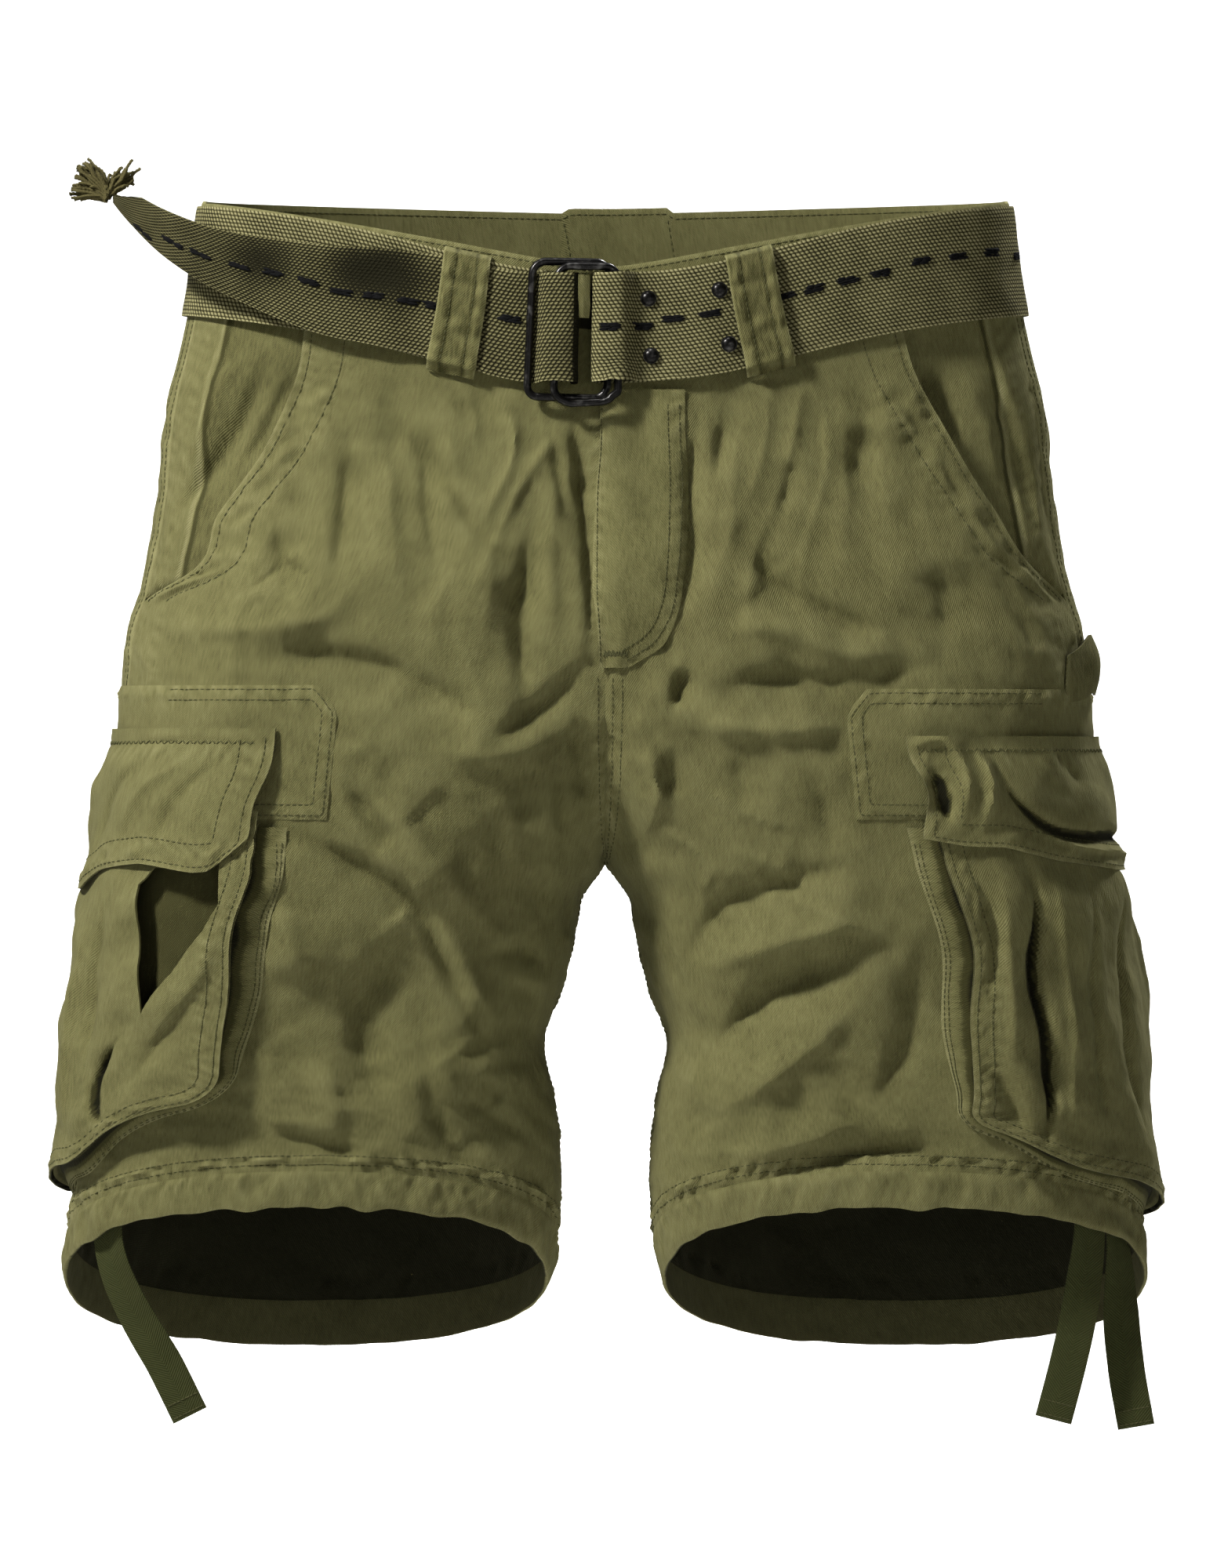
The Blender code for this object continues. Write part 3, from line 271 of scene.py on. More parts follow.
GUSSET_WALL, GUSSET_FOLD, GUSSET_FLARE, GUSSET_LIE, GUSSET_SHORT = 1.2, 5.0, 5.0, 0.9, 0.95
GUSSET_WIDTH = 24.0     # of its cloth, flat
PATCH_WALL, FLAP_WALL, PLACKET_WALL, PLACKET_LIE = 1.2, 1.8, 1.3, 0.9
FACE_SLIT = [(42, -338), (48, -329), (84, -326), (87, -346), (80, -360), (66, -381), (53, -402),
             (47, -374)]                 # arc, level of its corners

TAB_ARCS = [[16, 6, -6, -14], [19, 6, -6, -18], [21, 6, -6, -20], [20, 6, -4, -18]]
TAB_OUTS = [[0, 2, 4, 3], [0, 3, 7, 5], [0, 3, 6, 4], [0, 2, 3, 2]]     # rows go down
TAB_LEVELS, TAB_SLANT = [-211, -222, -232, -240], [-10, -6, 0, -2]
PLACKET = [             # height, x of its lapped edge and of its outer edge
    (-227, -3, 12), (-218, -3.5, 27), (-204, -4, 35), (-180, -5, 39), (-147, -4, 41),
    (-98, -2, 40), (-86.5, -2, 40),
]
FLY_PITCH = 2.8
FLY_STITCH = [(40, -94), (41, -147), (39, -180), (35, -203), (27, -216), (13, -225.5)]   # x, z

Loop = namedtuple("Loop", "name share lean layers")
LOOPS = [               # share of the way from the middle of the front to the middle of the back
    Loop("belt_loop_front_left", 0.152, 6.5, 2),
    Loop("belt_loop_front_right", -0.146, -4, 2),
    Loop("belt_loop_side_left", 0.66, 0, 1),
    Loop("belt_loop_side_right", -0.66, 0, 1),
    Loop("belt_loop_back", 1.0, 0, 1),
]
LOOP_WIDTH, LOOP_THICK = 24.0, 1.4

STRAP_END = [           # along, out of the riveted end: behind, round its turn, forward again
    (58, 2.5), (40, 2.5), (20, 2.5), (4, 2.5), (-3, 3.4), (-6.2, 7.8), (-3, 12.4), (3, 13.7),
    (8.2, 13.4), (12.4, 9.8), (15.8, 5.9), (20, 4.7), (40, 4.6), (60, 4.6), (66, 3.8), (73, 2.6),
]
STRAP_STOP = -17.5      # where the strap ends and the tail takes over
TAIL = [                # along, out, height of its middle, width
    (-17.2, 2.5, -56, 56), (-15.4, 3.6, -56, 56), (-14.2, 7.8, -56, 56),
    (-15.4, 12.2, -56, 56), (-18.9, 14.1, -56, 56), (-24.8, 14.2, -56, 56),
    (-29.5, 12.6, -56, 56), (-32.4, 9.0, -56, 56), (-34.4, 5.9, -56, 56),
    (-38, 4.5, -55, 56), (-46, 4.6, -54, 55), (-85, 4.6, -44.5, 52),
    (-115, 4.8, -39.5, 49), (-141, 5.4, -36, 45), (-162, 7.2, -31, 40),
    (-182, 12, -25.5, 34), (-200, 19.5, -19, 29), (-216, 29, -9, 23),
    (-229, 39, 3, 15), (-236, 46, 10, 10),
]
BELT_LINE = [(0, -56), (40, -53), (75, -46), (100, -39.5), (131, -32), (171, -25), (215, -20.5),
             (300, -21), (480, -24)]       # along the waist, height of the belt's middle

Ring = namedtuple("Ring", "name left right top bottom left_out right_out")
RINGS = [               # centre lines of the wire, measured from the strap's middle
    Ring("buckle_ring_outer", -37.6, 2.0, 34.0, -35.4, 7.8, 5.8),
    Ring("buckle_ring_inner", -24.8, 6.5, 31.4, -38.2, 11.0, 10.1),
]
RING_CORNER = 7.0
KEEPER_TOP, KEEPER_BOTTOM, KEEPER_WALL = 27, 5, 1.2
KEEPER_ALONG, KEEPER_OUT = [-14, -11, -8], [11.2, 10.6, 9.0]
RIVETS = [(22.0, 14.0), (22.5, -15.0), (58.2, 13.5), (61.0, -14.5)]   # along, above the middle

TAPES = {               # x, y, z of each tape's middles and its turn (degrees), top to bottom
    "drawstring_tape_right": [
        (-252.0, -44.0, -496.5, -42), (-252.3, -43.9, -506, -42),
        (-252.4, -43.4, -516, -40), (-247.8, -41.5, -536, -28),
        (-238.5, -39.5, -556, -16), (-224.5, -38, -580, -6), (-211, -37.5, -607, 0)],
    "drawstring_tape_left_front": [
        (245.6, -48.9, -494, 36), (245.9, -48.9, -504, 36),
        (245.6, -48.4, -514, 33), (243.5, -46.5, -534, 20), (240.5, -45, -555, 8),
        (235.5, -44.5, -578, 0), (227.5, -44.5, -609, 0)],
    "drawstring_tape_left_side": [
        (259.2, -33.5, -498, 55), (259.7, -33.5, -508, 55),
        (260.4, -33.0, -520, 52), (261.5, -31.5, -540, 34), (262.5, -30.5, -560, 14),
        (265, -30, -584, 4), (270, -30, -613, 0)],
}

# colours, linear
OLIVE, OLIVE_WORN, OLIVE_DEEP = (0.149, 0.140, 0.054), (0.263, 0.247, 0.112), (0.051, 0.048, 0.016)
# painted shade, for the inner faces and for cloth painted in full shade
OLIVE_SHADE = (0.014, 0.0135, 0.006)
WEB, WEB_RAISED, WEB_DEEP = (0.118, 0.107, 0.044), (0.325, 0.298, 0.148), (0.013, 0.012, 0.005)
TAPE_DARK, TAPE_PALE = (0.030, 0.034, 0.010), (0.062, 0.066, 0.024)
THREAD, THREAD_BLACK = (0.100, 0.098, 0.040), (0.006, 0.006, 0.006)
YARN_BROWN = (0.112, 0.096, 0.036)
PLATE, PLATE_RUBBED = (0.020, 0.019, 0.018), (0.10, 0.096, 0.09)
FLOOR_TONES = (0.86, 0.86, 0.85), (0.90, 0.90, 0.89)
FAR_GLOW = (0.15, 0.15, 0.149)     # of the floor beyond the lamps' reach


# ---------------------------------------------------------------- the body's surface
def curve(xs, ys, x):
    """Smooth curve through a table's points, with slopes from their neighbours."""
    xs, ys = np.asarray(xs, float), np.asarray(ys, float)
    slopes = np.gradient(ys, xs)
    x = np.clip(x, xs[0], xs[-1])
    k = np.clip(np.searchsorted(xs, x) - 1, 0, len(xs) - 2)
    span = xs[k + 1] - xs[k]
    f = (x - xs[k]) / span
    return ((1 + 2 * f) * (1 - f) ** 2 * ys[k] + f * (1 - f) ** 2 * span * slopes[k]
            + f * f * (3 - 2 * f) * ys[k + 1] - f * f * (1 - f) * span * slopes[k + 1])


def run_along(across, upward):
    """Length of a line from its start to each of its points."""
    return np.concatenate([[0], np.cumsum(np.hypot(np.diff(across), np.diff(upward)))])


def unit(vectors):
    return vectors / np.maximum(np.linalg.norm(vectors, axis=-1, keepdims=True), 1e-9)


def table_columns(table):
    return np.array(table, float).T


def spline(rows, spacing):
    """Evenly spaced points on a smooth curve through the rows (2-D array)."""
    rows = np.asarray(rows, float)
    length = run_along(*rows[:, :2].T)
    count = max(int(round(length[-1] / spacing)), 2)
    at = np.linspace(0, length[-1], count + 1)
    return np.stack([curve(length, values, at) for values in rows.T], axis=-1)


def shares(count):
    """Evenly spaced shares of the way over a grid's columns."""
    return np.linspace(0, 1, count)[None, :]


def ease(x):
    x = np.clip(x, 0.0, 1.0)
    return x * x * (3 - 2 * x)


def bell(x):
    return np.exp(-x * x)


def waves(x, y, size, seed, count=14):
    """Smooth noise of about -1 to 1, as a sum of plane waves about size mm long."""
    draw = np.random.default_rng(seed)
    total = np.zeros(np.broadcast(x, y).shape)
    for _ in range(count):
        heading, phase = draw.uniform(0, 2 * math.pi, 2)
        length = size * draw.uniform(0.6, 1.7)
        along = x * math.cos(heading) + y * math.sin(heading)
        total = total + np.sin(2 * math.pi / length * along + phase)
    return total / math.sqrt(count)


SECTION_LEVELS = [row.level for row in reversed(SECTIONS)]


def column(name, level):
    """One column of the leg's sections at any level."""
    return curve(SECTION_LEVELS, [getattr(row, name) for row in reversed(SECTIONS)], level)


def ring_at(level):
    """Centre and half width in x, and the two depths, of one leg's ring."""
    outer, inner = column("outer", level), column("inner", level)
    return (outer + inner) / 2, (outer - inner) / 2, column("front", level), column("back", level)


def ring_point(turn, level):
    """x and y of the ring; turn is 0 at the side, -pi round the front, +pi round the back."""
    centre, half, front, back = ring_at(level)
    power = 2 / ROUNDNESS
    x = centre + half * np.sign(np.cos(turn)) * np.abs(np.cos(turn)) ** power
    depth = np.where(np.asarray(turn) < 0, front, back)
    return x, depth * np.sign(np.sin(turn)) * np.abs(np.sin(turn)) ** power


LEVEL_STEP, ARC_STEP, ARC_MOST = 3.0, 2.0, 560.0
TABLE_LEVELS = np.arange(-546.0, 18.0, LEVEL_STEP)
TABLE_ARCS = np.arange(-ARC_MOST, ARC_MOST + 1, ARC_STEP)
TURNS = np.linspace(-math.pi, math.pi, 1441)


def arcs_of_level(level):
    """Arc of each of TURNS, counted forward from the side seam."""
    x, y = ring_point(TURNS, level)
    length = run_along(x, y)
    return np.interp(SIDE_SEAM_TURN, TURNS, length) - length


LEVEL_ARCS = np.array([arcs_of_level(level) for level in TABLE_LEVELS])
TURN_TABLE = np.array([np.interp(TABLE_ARCS, arcs[::-1], TURNS[::-1]) for arcs in LEVEL_ARCS])


def between_cells(table, row, column):
    """A table's value between its rows and columns."""
    row = np.clip(row, 0, table.shape[0] - 1.001)
    column = np.clip(column, 0, table.shape[1] - 1.001)
    k, j = row.astype(int), column.astype(int)
    f, g = row - k, column - j
    low = table[k, j] * (1 - g) + table[k, j + 1] * g
    high = table[k + 1, j] * (1 - g) + table[k + 1, j + 1] * g
    return low * (1 - f) + high * f


def turn_at(arc, level):
    """Turn of a place on the ring; arc_at is the way back."""
    return between_cells(TURN_TABLE, (level - TABLE_LEVELS[0]) / LEVEL_STEP,
                         (arc + ARC_MOST) / ARC_STEP)


def arc_at(turn, level):
    return between_cells(LEVEL_ARCS, (level - TABLE_LEVELS[0]) / LEVEL_STEP,
                         (turn + math.pi) / (TURNS[1] - TURNS[0]))


def turn_of_x(x, level, face=-1):
    """Turn where a leg's ring reaches x, in front (face -1) or behind (1)."""
    centre, half, _, _ = ring_at(level)
    reach = np.clip((x - centre) / half, -1, 1)
    return face * np.arccos(np.sign(reach) * np.abs(reach) ** (ROUNDNESS / 2))


def end_turn(level, face):
    """Turn of the centre seam or inseam."""
    return turn_of_x(SEAM_GAP / 2, level, face)


def lift(x, y, level):
    """How far a row is bent up or down there, by the waist's dip and the hem's rise."""
    centre, half, front, back = ring_at(level)
    forward = y < 0
    inward = 1.08 - np.sqrt((x / (centre + half)) ** 2 + 0.0064)
    dip = np.clip(inward, 0, 1) ** 1.2 * np.where(forward, FRONT_DIP, BACK_DIP)
    fade = ease((level - DIP_END) / (WAIST_TOP - DIP_END))
    rise = HEM_RISE * ease((HEM_RISE_START - level) / (HEM_RISE_START - HEM_EDGE))
    return -dip * fade - rise * y / np.where(forward, front, back)


def crease_height(crease, x, z):
    """One crease: a drawn line, steep on one side, fading towards both of its ends."""
    route = np.array(crease.route, float)
    route = spline(np.column_stack([route, np.zeros(len(route))]), 6.0)[:, :2]
    lengths = np.hypot(*np.diff(route, axis=0).T)
    nearest = np.full(np.shape(x), np.inf)
    run, beside = np.zeros(np.shape(x)), np.zeros(np.shape(x))
    for start, end, length, before in zip(route, route[1:], lengths, np.cumsum(lengths) - lengths):
        along = (end - start) / length
        across = np.array([along[1], -along[0]])
        across *= math.copysign(1, across[0] - across[1])
        ahead = np.clip((x - start[0]) * along[0] + (z - start[1]) * along[1], 0, length)
        off_x, off_z = x - start[0] - along[0] * ahead, z - start[1] - along[1] * ahead
        distance = np.hypot(off_x, off_z)
        closer = distance < nearest
        run = np.where(closer, before + ahead, run)
        beside = np.where(closer, off_x * across[0] + off_z * across[1], beside)
        nearest = np.minimum(distance, nearest)
    full = lengths.sum()
    fade = 0.1 + 0.9 * ease(run / (0.35 * full)) * ease((full - run) / (0.35 * full))
    steep = 0.5 * (1 + np.tanh(math.copysign(1, crease.height) * beside / 3.0))
    width = crease.width * (1.65 - 0.95 * steep) * (0.55 + 0.45 * fade)
    profile = np.exp(0.3 - np.sqrt((1.55 * nearest / width) ** 2 + 0.09))
    return crease.height * 1.12 * profile * fade


def pulled(x, z, size, seed):
    """Sharp-crested lines of drawn cloth, 0 between them, wandering and forked."""
    wander_x = 0.35 * size * waves(x, z, 1.6 * size, seed + 1)
    wander_z = 0.35 * size * waves(x, z, 1.6 * size, seed + 2)
    line = np.sqrt(waves(x + wander_x, z + wander_z, size, seed) ** 2 + 0.004)
    return np.exp(-2.4 * line) * (0.6 + 0.4 * waves(x, z, 2.2 * size, seed + 3))


def crumple(x, z):
    """Unevenness of washed cotton (mm): drawn lines on soft ridges, and gathers at the belt."""
    wide = 0.55 - np.sqrt(waves(x, 0.8 * z, 120, 33) ** 2 + 0.05)
    close = waves(x, z, 46, 35)
    gathers = waves(x, 0.12 * z, 30, 37) * ease((z + 190) / 90)
    steep_lines = pulled(x, 0.4 * z, 46, 231)
    lean = np.abs(x) * 0.55
    slant_lines = pulled(0.5 * x, z + lean, 50, 241) * ease((-200 - z) / 80)
    near_belt = 0.35 + 0.65 * ease((z + 300) / 120)
    return (2.2 * wide + 0.4 * close + 1.2 * gathers + 2.6 * steep_lines * near_belt
            + 2.8 * slant_lines)


MAP_STEP = 2.0
MAP_X, MAP_Z = np.arange(-290.0, 291.0, MAP_STEP), np.arange(-580.0, 20.0, MAP_STEP)


def softened(table, reach):
    """A table blurred over about reach mm each way."""
    offsets = np.arange(-3 * reach, 3 * reach + 1, MAP_STEP)
    weights = bell(offsets / reach)
    for _ in range(2):
        edged = np.pad(table, ((len(offsets) // 2,) * 2, (0, 0)), mode="edge")
        table = sum(edged[k:k + len(table)] * weight for k, weight in enumerate(weights))
        table = (table / weights.sum()).T
    return table


def height_map(creases):
    """Creases and crumple on a grid of places, kept soft under the pockets and patches."""
    x, z = np.meshgrid(MAP_X, MAP_Z)
    table = sum((crease_height(crease, x, z) for crease in creases), crumple(x, z))
    patched = ease((np.abs(x + 5) - 118) / 14) * ease((-226 - z) / 12) * ease((z + 318) / 12)
    pocketed = ease((np.abs(x + 6) - 158) / 14) * ease((-296 - z) / 12)
    under = np.maximum(patched, pocketed)
    return table * (1 - under) + softened(table, 14.0) * under


HEIGHT_MAPS = {-1: height_map(FRONT_CREASES), 1: height_map(BACK_CREASES)}


def mapped_height(face, x, z):
    """Height of the creases in front (face -1) or behind (1)."""
    return between_cells(HEIGHT_MAPS[face], (z - MAP_Z[0]) / MAP_STEP, (x - MAP_X[0]) / MAP_STEP)


def skin(side, arc, level):
    """The nominal cloth, folds included, in world millimetres."""
    turn = turn_at(arc, level)
    x, y = ring_point(turn, level)
    z = level + lift(x, y, level)
    _, _, front, back = ring_at(level)
    depth = np.where(y < 0, front, back)
    fade = ease(np.abs(y) / depth / 0.6) * ease((level + 524) / 22) * ease((-58 - level) / 50)
    height = np.where(y < 0, mapped_height(-1, side * x, z),
                      BACK_RELIEF * mapped_height(1, side * x, z))
    height = np.minimum(RELIEF * height * fade, 0.9 + 14 * ease((-84 - level) / 50))
    grow = 1 + height / depth
    return np.stack([side * x, y * grow, z], axis=-1)


def cloth(side, arc, level, out=0.0):
    """Points of the cloth moved out along its normal."""
    side, arc, level, out = np.broadcast_arrays(
        *(np.asarray(value, float) for value in (side, arc, level, out)))
    middle = skin(side, arc, level)
    around = skin(side, arc + 1.5, level) - middle
    upward = skin(side, arc, level + 1.5) - middle
    normal = unit(np.cross(upward, around) * side[..., None])
    return middle + normal * out[..., None]


def level_under(x, z):
    """Level of the front of the cloth at a place seen from the front."""
    level = np.array(z, float)
    for _ in range(30):
        turn = turn_of_x(np.abs(x), level)
        across, y = ring_point(turn, level)
        level = level + 0.7 * (z - lift(across, y, level) - level)
    return level


def front_cloth(x, z, out):
    """Points laid on the front, from places seen from the front."""
    x, z = np.broadcast_arrays(np.asarray(x, float), np.asarray(z, float))
    level = level_under(x, z)
    arc = arc_at(turn_of_x(np.abs(x), level), level)
    return cloth(np.where(x < 0, -1, 1), arc, level, out)


# ---------------------------------------------------------------- meshes
def plain_mesh(thing):
    """Removes an object and returns its mesh, with its modifiers or curve worked out."""
    bpy.context.view_layer.update()
    finished = thing.evaluated_get(bpy.context.evaluated_depsgraph_get())
    made = bpy.data.meshes.new_from_object(finished)
    bpy.data.objects.remove(thing)
    return made


def placed(name, data):
    """An object for its data, at the origin of the scene."""
    made = bpy.data.objects.new(name, data)
    bpy.context.scene.collection.objects.link(made)
    return made


def added(name, data, finish):
    """An object for a finished mesh that rides on the root."""
    data.materials.clear()
    data.materials.append(finish[0])
    made = placed(name, data)
    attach(made, "root")
    return made


def dressed(node, data, finish):
    """An object for a finished mesh that stands for a node."""
    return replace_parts(added(node + "_dressed", data, finish), node)


def face_outwards(data):
    work = bmesh.new()
    work.from_mesh(data)
    bmesh.ops.recalc_face_normals(work, faces=work.faces)
    work.to_mesh(data)
    work.free()


def set_values(data, **values):
    """Gives each point of a mesh a number under each name."""
    for name, column in values.items():
        data.attributes.new(name, "FLOAT", "POINT").data.foreach_set("value", column)


Surface = namedtuple("Surface", "points normals place")
SURFACES = {}           # face of each wall, for what is sewn on it


def surface_of(points, other, uv):
    """The face's grid with its normals, which point away from the wall's other face."""
    normals = unit(np.cross(np.gradient(points, axis=0), np.gradient(points, axis=1)))
    away = np.sign(np.sum((points - other) * normals, axis=-1, keepdims=True))
    return Surface(points, normals * away, uv)


def relief_of(surface, reach=3):
    """Height (mm) of each point over the mean of its neighbours a few cells away."""
    points = surface.points
    rows, columns = points.shape[:2]
    total = np.zeros_like(points)
    for shift in (-reach, reach):
        total += points[np.clip(np.arange(rows) + shift, 0, rows - 1)]
        total += points[:, np.clip(np.arange(columns) + shift, 0, columns - 1)]
    return np.clip(np.sum((points - total / 4) * surface.normals, axis=-1), -1.5, 1.5)


def wall(node, outer, inner, uv, finish, wear=0.0, shade=1.0):
    """A closed wall between two grids of points (mm); uv and wear belong to the grid.

    Wear above 0 rubs it paler; below 0 it darkens seam lines and paints shade; shade paints inner
    faces darker.
    """
    face, lining = surface_of(outer, inner, uv), surface_of(inner, outer, uv)
    SURFACES[node], SURFACES[node + "_inside"] = face, lining
    rows, columns = outer.shape[:2]
    points = np.concatenate([outer.reshape(-1, 3), inner.reshape(-1, 3)]) * MM
    index = np.arange(rows * columns).reshape(rows, columns)
    quads = np.stack([index[:-1, :-1], index[1:, :-1], index[1:, 1:], index[:-1, 1:]],
                     axis=-1).reshape(-1, 4)
    rim = np.concatenate([index[0, :], index[1:, -1], index[-1, -2::-1], index[-2:0:-1, 0]])
    back, after = rows * columns, np.roll(rim, -1)
    edge = np.stack([rim, after, after + back, rim + back], axis=-1)
    faces = np.concatenate([quads, quads[:, ::-1] + back, edge])
    data = bpy.data.meshes.new(node)
    data.from_pydata(points, [], faces)
    grid_uv = np.concatenate([uv.reshape(-1, 2)] * 2) * MM
    layer = data.uv_layers.new(name="cloth")
    corners = np.empty(len(data.loops), np.int32)
    data.loops.foreach_get("vertex_index", corners)
    layer.data.foreach_set("uv", grid_uv[corners].ravel())
    paler_by = np.broadcast_to(np.asarray(wear, float), (rows, columns)).ravel()
    # inside paints full shade: on the outer face where the wear is far below 0, on the inner face
    # by shade
    set_values(data, wear=np.concatenate([paler_by, np.where(paler_by < 0, paler_by, 0.3 * paler_by)]),
               inside=np.concatenate([np.clip(-paler_by - FULL_SHADE_FROM, 0, 1), np.full(back, shade)]),
               relief=np.concatenate([relief_of(face).ravel(), relief_of(lining).ravel()]))
    face_outwards(data)
    data.shade_smooth()
    data.set_sharp_from_angle(angle=SHARP)
    return dressed(node, data, finish)


def cloth_wall(node, side, arc, level, out, thick, finish, wear=0.0, inner_out=None, shade=1.0):
    """A wall laid on the cloth over a grid of arcs and levels, its outer face at out."""
    out = np.broadcast_to(np.asarray(out, float), arc.shape)
    inside = out - thick if inner_out is None else inner_out
    return wall(node, cloth(side, arc, level, out), cloth(side, arc, level, inside),
                np.stack([side * arc, level], axis=-1), finish, wear, shade)


def side_name(side):
    return "left" if side > 0 else "right"


# ---------------------------------------------------------------- shader maths
class Value:
    """A number socket of a shader tree; arithmetic on it adds Math nodes."""

    def __init__(self, paint, socket):
        self.paint, self.socket = paint, socket

    def __add__(self, other):
        return self.paint.maths("ADD", self, other)

    def __sub__(self, other):
        return self.paint.maths("SUBTRACT", self, other)

    def __rsub__(self, other):
        return self.paint.maths("SUBTRACT", other, self)

    def __mul__(self, other):
        return self.paint.maths("MULTIPLY", self, other)

    def __truediv__(self, other):
        return self.paint.maths("DIVIDE", self, other)

    def __pow__(self, other):
        return self.paint.maths("POWER", self, other)

    __radd__, __rmul__ = __add__, __mul__


class Tree:
    """A node tree whose nodes are added by method calls."""

    def join(self, socket, value):
        value = value.socket if isinstance(value, Value) else value
        if isinstance(value, bpy.types.NodeSocket):
            self.tree.links.new(value, socket)
        else:
            socket.default_value = value

    def node(self, kind, settings, inputs, output=0):
        """Adds a node: settings first, then its sockets' values or links; returns one output."""
        made = self.tree.nodes.new(kind)
        for setting, value in settings.items():
            setattr(made, setting, value)
        for key, value in inputs.items():
            for one in value if isinstance(value, list) else [value]:
                self.join(made.inputs[key], one)
        return made.outputs[output]


class Paint(Tree):
    """A Principled material."""

    def __init__(self, name, **constants):
        self.material = bpy.data.materials.new(name)
        self.material.use_nodes = True
        self.tree = self.material.node_tree
        self.shader = self.tree.nodes["Principled BSDF"]
        for socket, value in constants.items():
            self.shader.inputs[socket.replace("_", " ")].default_value = value

    def node(self, kind, settings, inputs, output=0):
        return Value(self, super().node("ShaderNode" + kind, settings, inputs, output))

    def feed(self, socket, value):
        self.join(self.shader.inputs[socket], value)

    def maths(self, operation, *values):
        return self.node("Math", {"operation": operation}, dict(enumerate(values)))

    def blend(self, factor, low, high):
        """A colour between two, each a colour or a socket."""
        low, high = (v if isinstance(v, Value) else (*v, 1.0) for v in (low, high))
        return self.node("Mix", {"data_type": "RGBA"}, {0: factor, 6: low, 7: high}, 2)

    def grey_ramp(self, value, low, high):
        """Smooth step of a value from low to high."""
        return self.node("MapRange", {"interpolation_type": "SMOOTHSTEP"},
                         {0: value, 1: low, 2: high, 3: 0.0, 4: 1.0})

    def cloth_place(self):
        """u and v of the cloth in millimetres."""
        uv = self.node("UVMap", {"uv_map": "cloth"}, {})
        parts = self.tree.nodes.new("ShaderNodeSeparateXYZ")
        self.tree.links.new(uv.socket, parts.inputs[0])
        return Value(self, parts.outputs[0]) * 1000, Value(self, parts.outputs[1]) * 1000

    def noise(self, scale, detail=3.0, stretch=(1, 1, 1), uv=False):
        """Noise with scale features per metre, on the object's place or the cloth's own."""
        if uv:
            place = self.node("UVMap", {"uv_map": "cloth"}, {})
        else:
            place = self.node("TexCoord", {}, {}, "Object")
        place = self.node("Mapping", {}, {"Vector": place, "Scale": stretch})
        return self.node("TexNoise", {}, {"Vector": place, "Scale": scale, "Detail": detail})

    def attribute(self, name):
        return self.node("Attribute", {"attribute_name": name}, {}, "Fac")

    def bump(self, height, strength, distance):
        made = self.node("Bump", {}, {"Height": height, "Strength": strength, "Distance": distance})
        self.feed("Normal", made)


def ribs(paint, place, pitch):
    """A rounded rib, 0 in the valleys and 1 on the crests, every pitch mm of place."""
    return paint.maths("SINE", place * (2 * math.pi / pitch)) * 0.5 + 0.5


def twill_paint(name, pale=0.0):
    """Garment-washed cotton twill: fine diagonals, slubs, mottled dye and rubbed edges.

    It reads the wear and painted shade, the inside shade and the relief that each wall carries.
    """
    # pale paints the whole cloth paler, as lit
    paint = Paint(name, Roughness=0.92, Specular_IOR_Level=0.08, Sheen_Weight=0.08,
                  Sheen_Roughness=0.5, Sheen_Tint=(0.75, 0.72, 0.42, 1.0))
    u, v = paint.cloth_place()
    drift = paint.noise(260, 2.0, uv=True) * 0.9
    diagonal = ribs(paint, u + v * 0.8 + drift, 1.15)
    slub = paint.noise(900, 4.0, (1.0, 0.16, 1.0), uv=True)
    fleck = paint.noise(2600, 2.0, uv=True)
    cloud = paint.noise(14, 4.0)
    mottle = paint.noise(75, 5.0)
    paler_by = paint.attribute("wear")
    relief = paint.attribute("relief")
    # wear and relief crests above 0 rub the cloth paler; below 0 they paint shade, relief in the
    # valleys of folds
    shade = (0.30 + pale + 0.45 * (cloud - 0.5) + 0.55 * (mottle - 0.5) + 1.0 * (slub - 0.5)
             + 1.3 * (fleck - 0.5) + 0.3 * (diagonal - 0.5) + paler_by * 0.6 + relief * 0.07)
    deep = paint.blend(paint.grey_ramp(shade, -0.35, 0.3), OLIVE_DEEP, OLIVE)
    colour = paint.blend(paint.grey_ramp(shade, 0.2, 1.25), deep, OLIVE_WORN)
    # inside blends the colour towards OLIVE_SHADE, painted shade
    inside = paint.attribute("inside")
    colour = paint.blend(paint.grey_ramp(inside, 0.1, 0.9), colour, OLIVE_SHADE)
    paint.feed("Base Color", colour)
    paint.bump(diagonal * 0.5 + slub * 0.9 + fleck * 0.7, 0.8, 0.0005)
    return paint.material


WEB_ROW, WEB_FLOAT = 1.9, 2.3      # mm across and along one float of the webbing


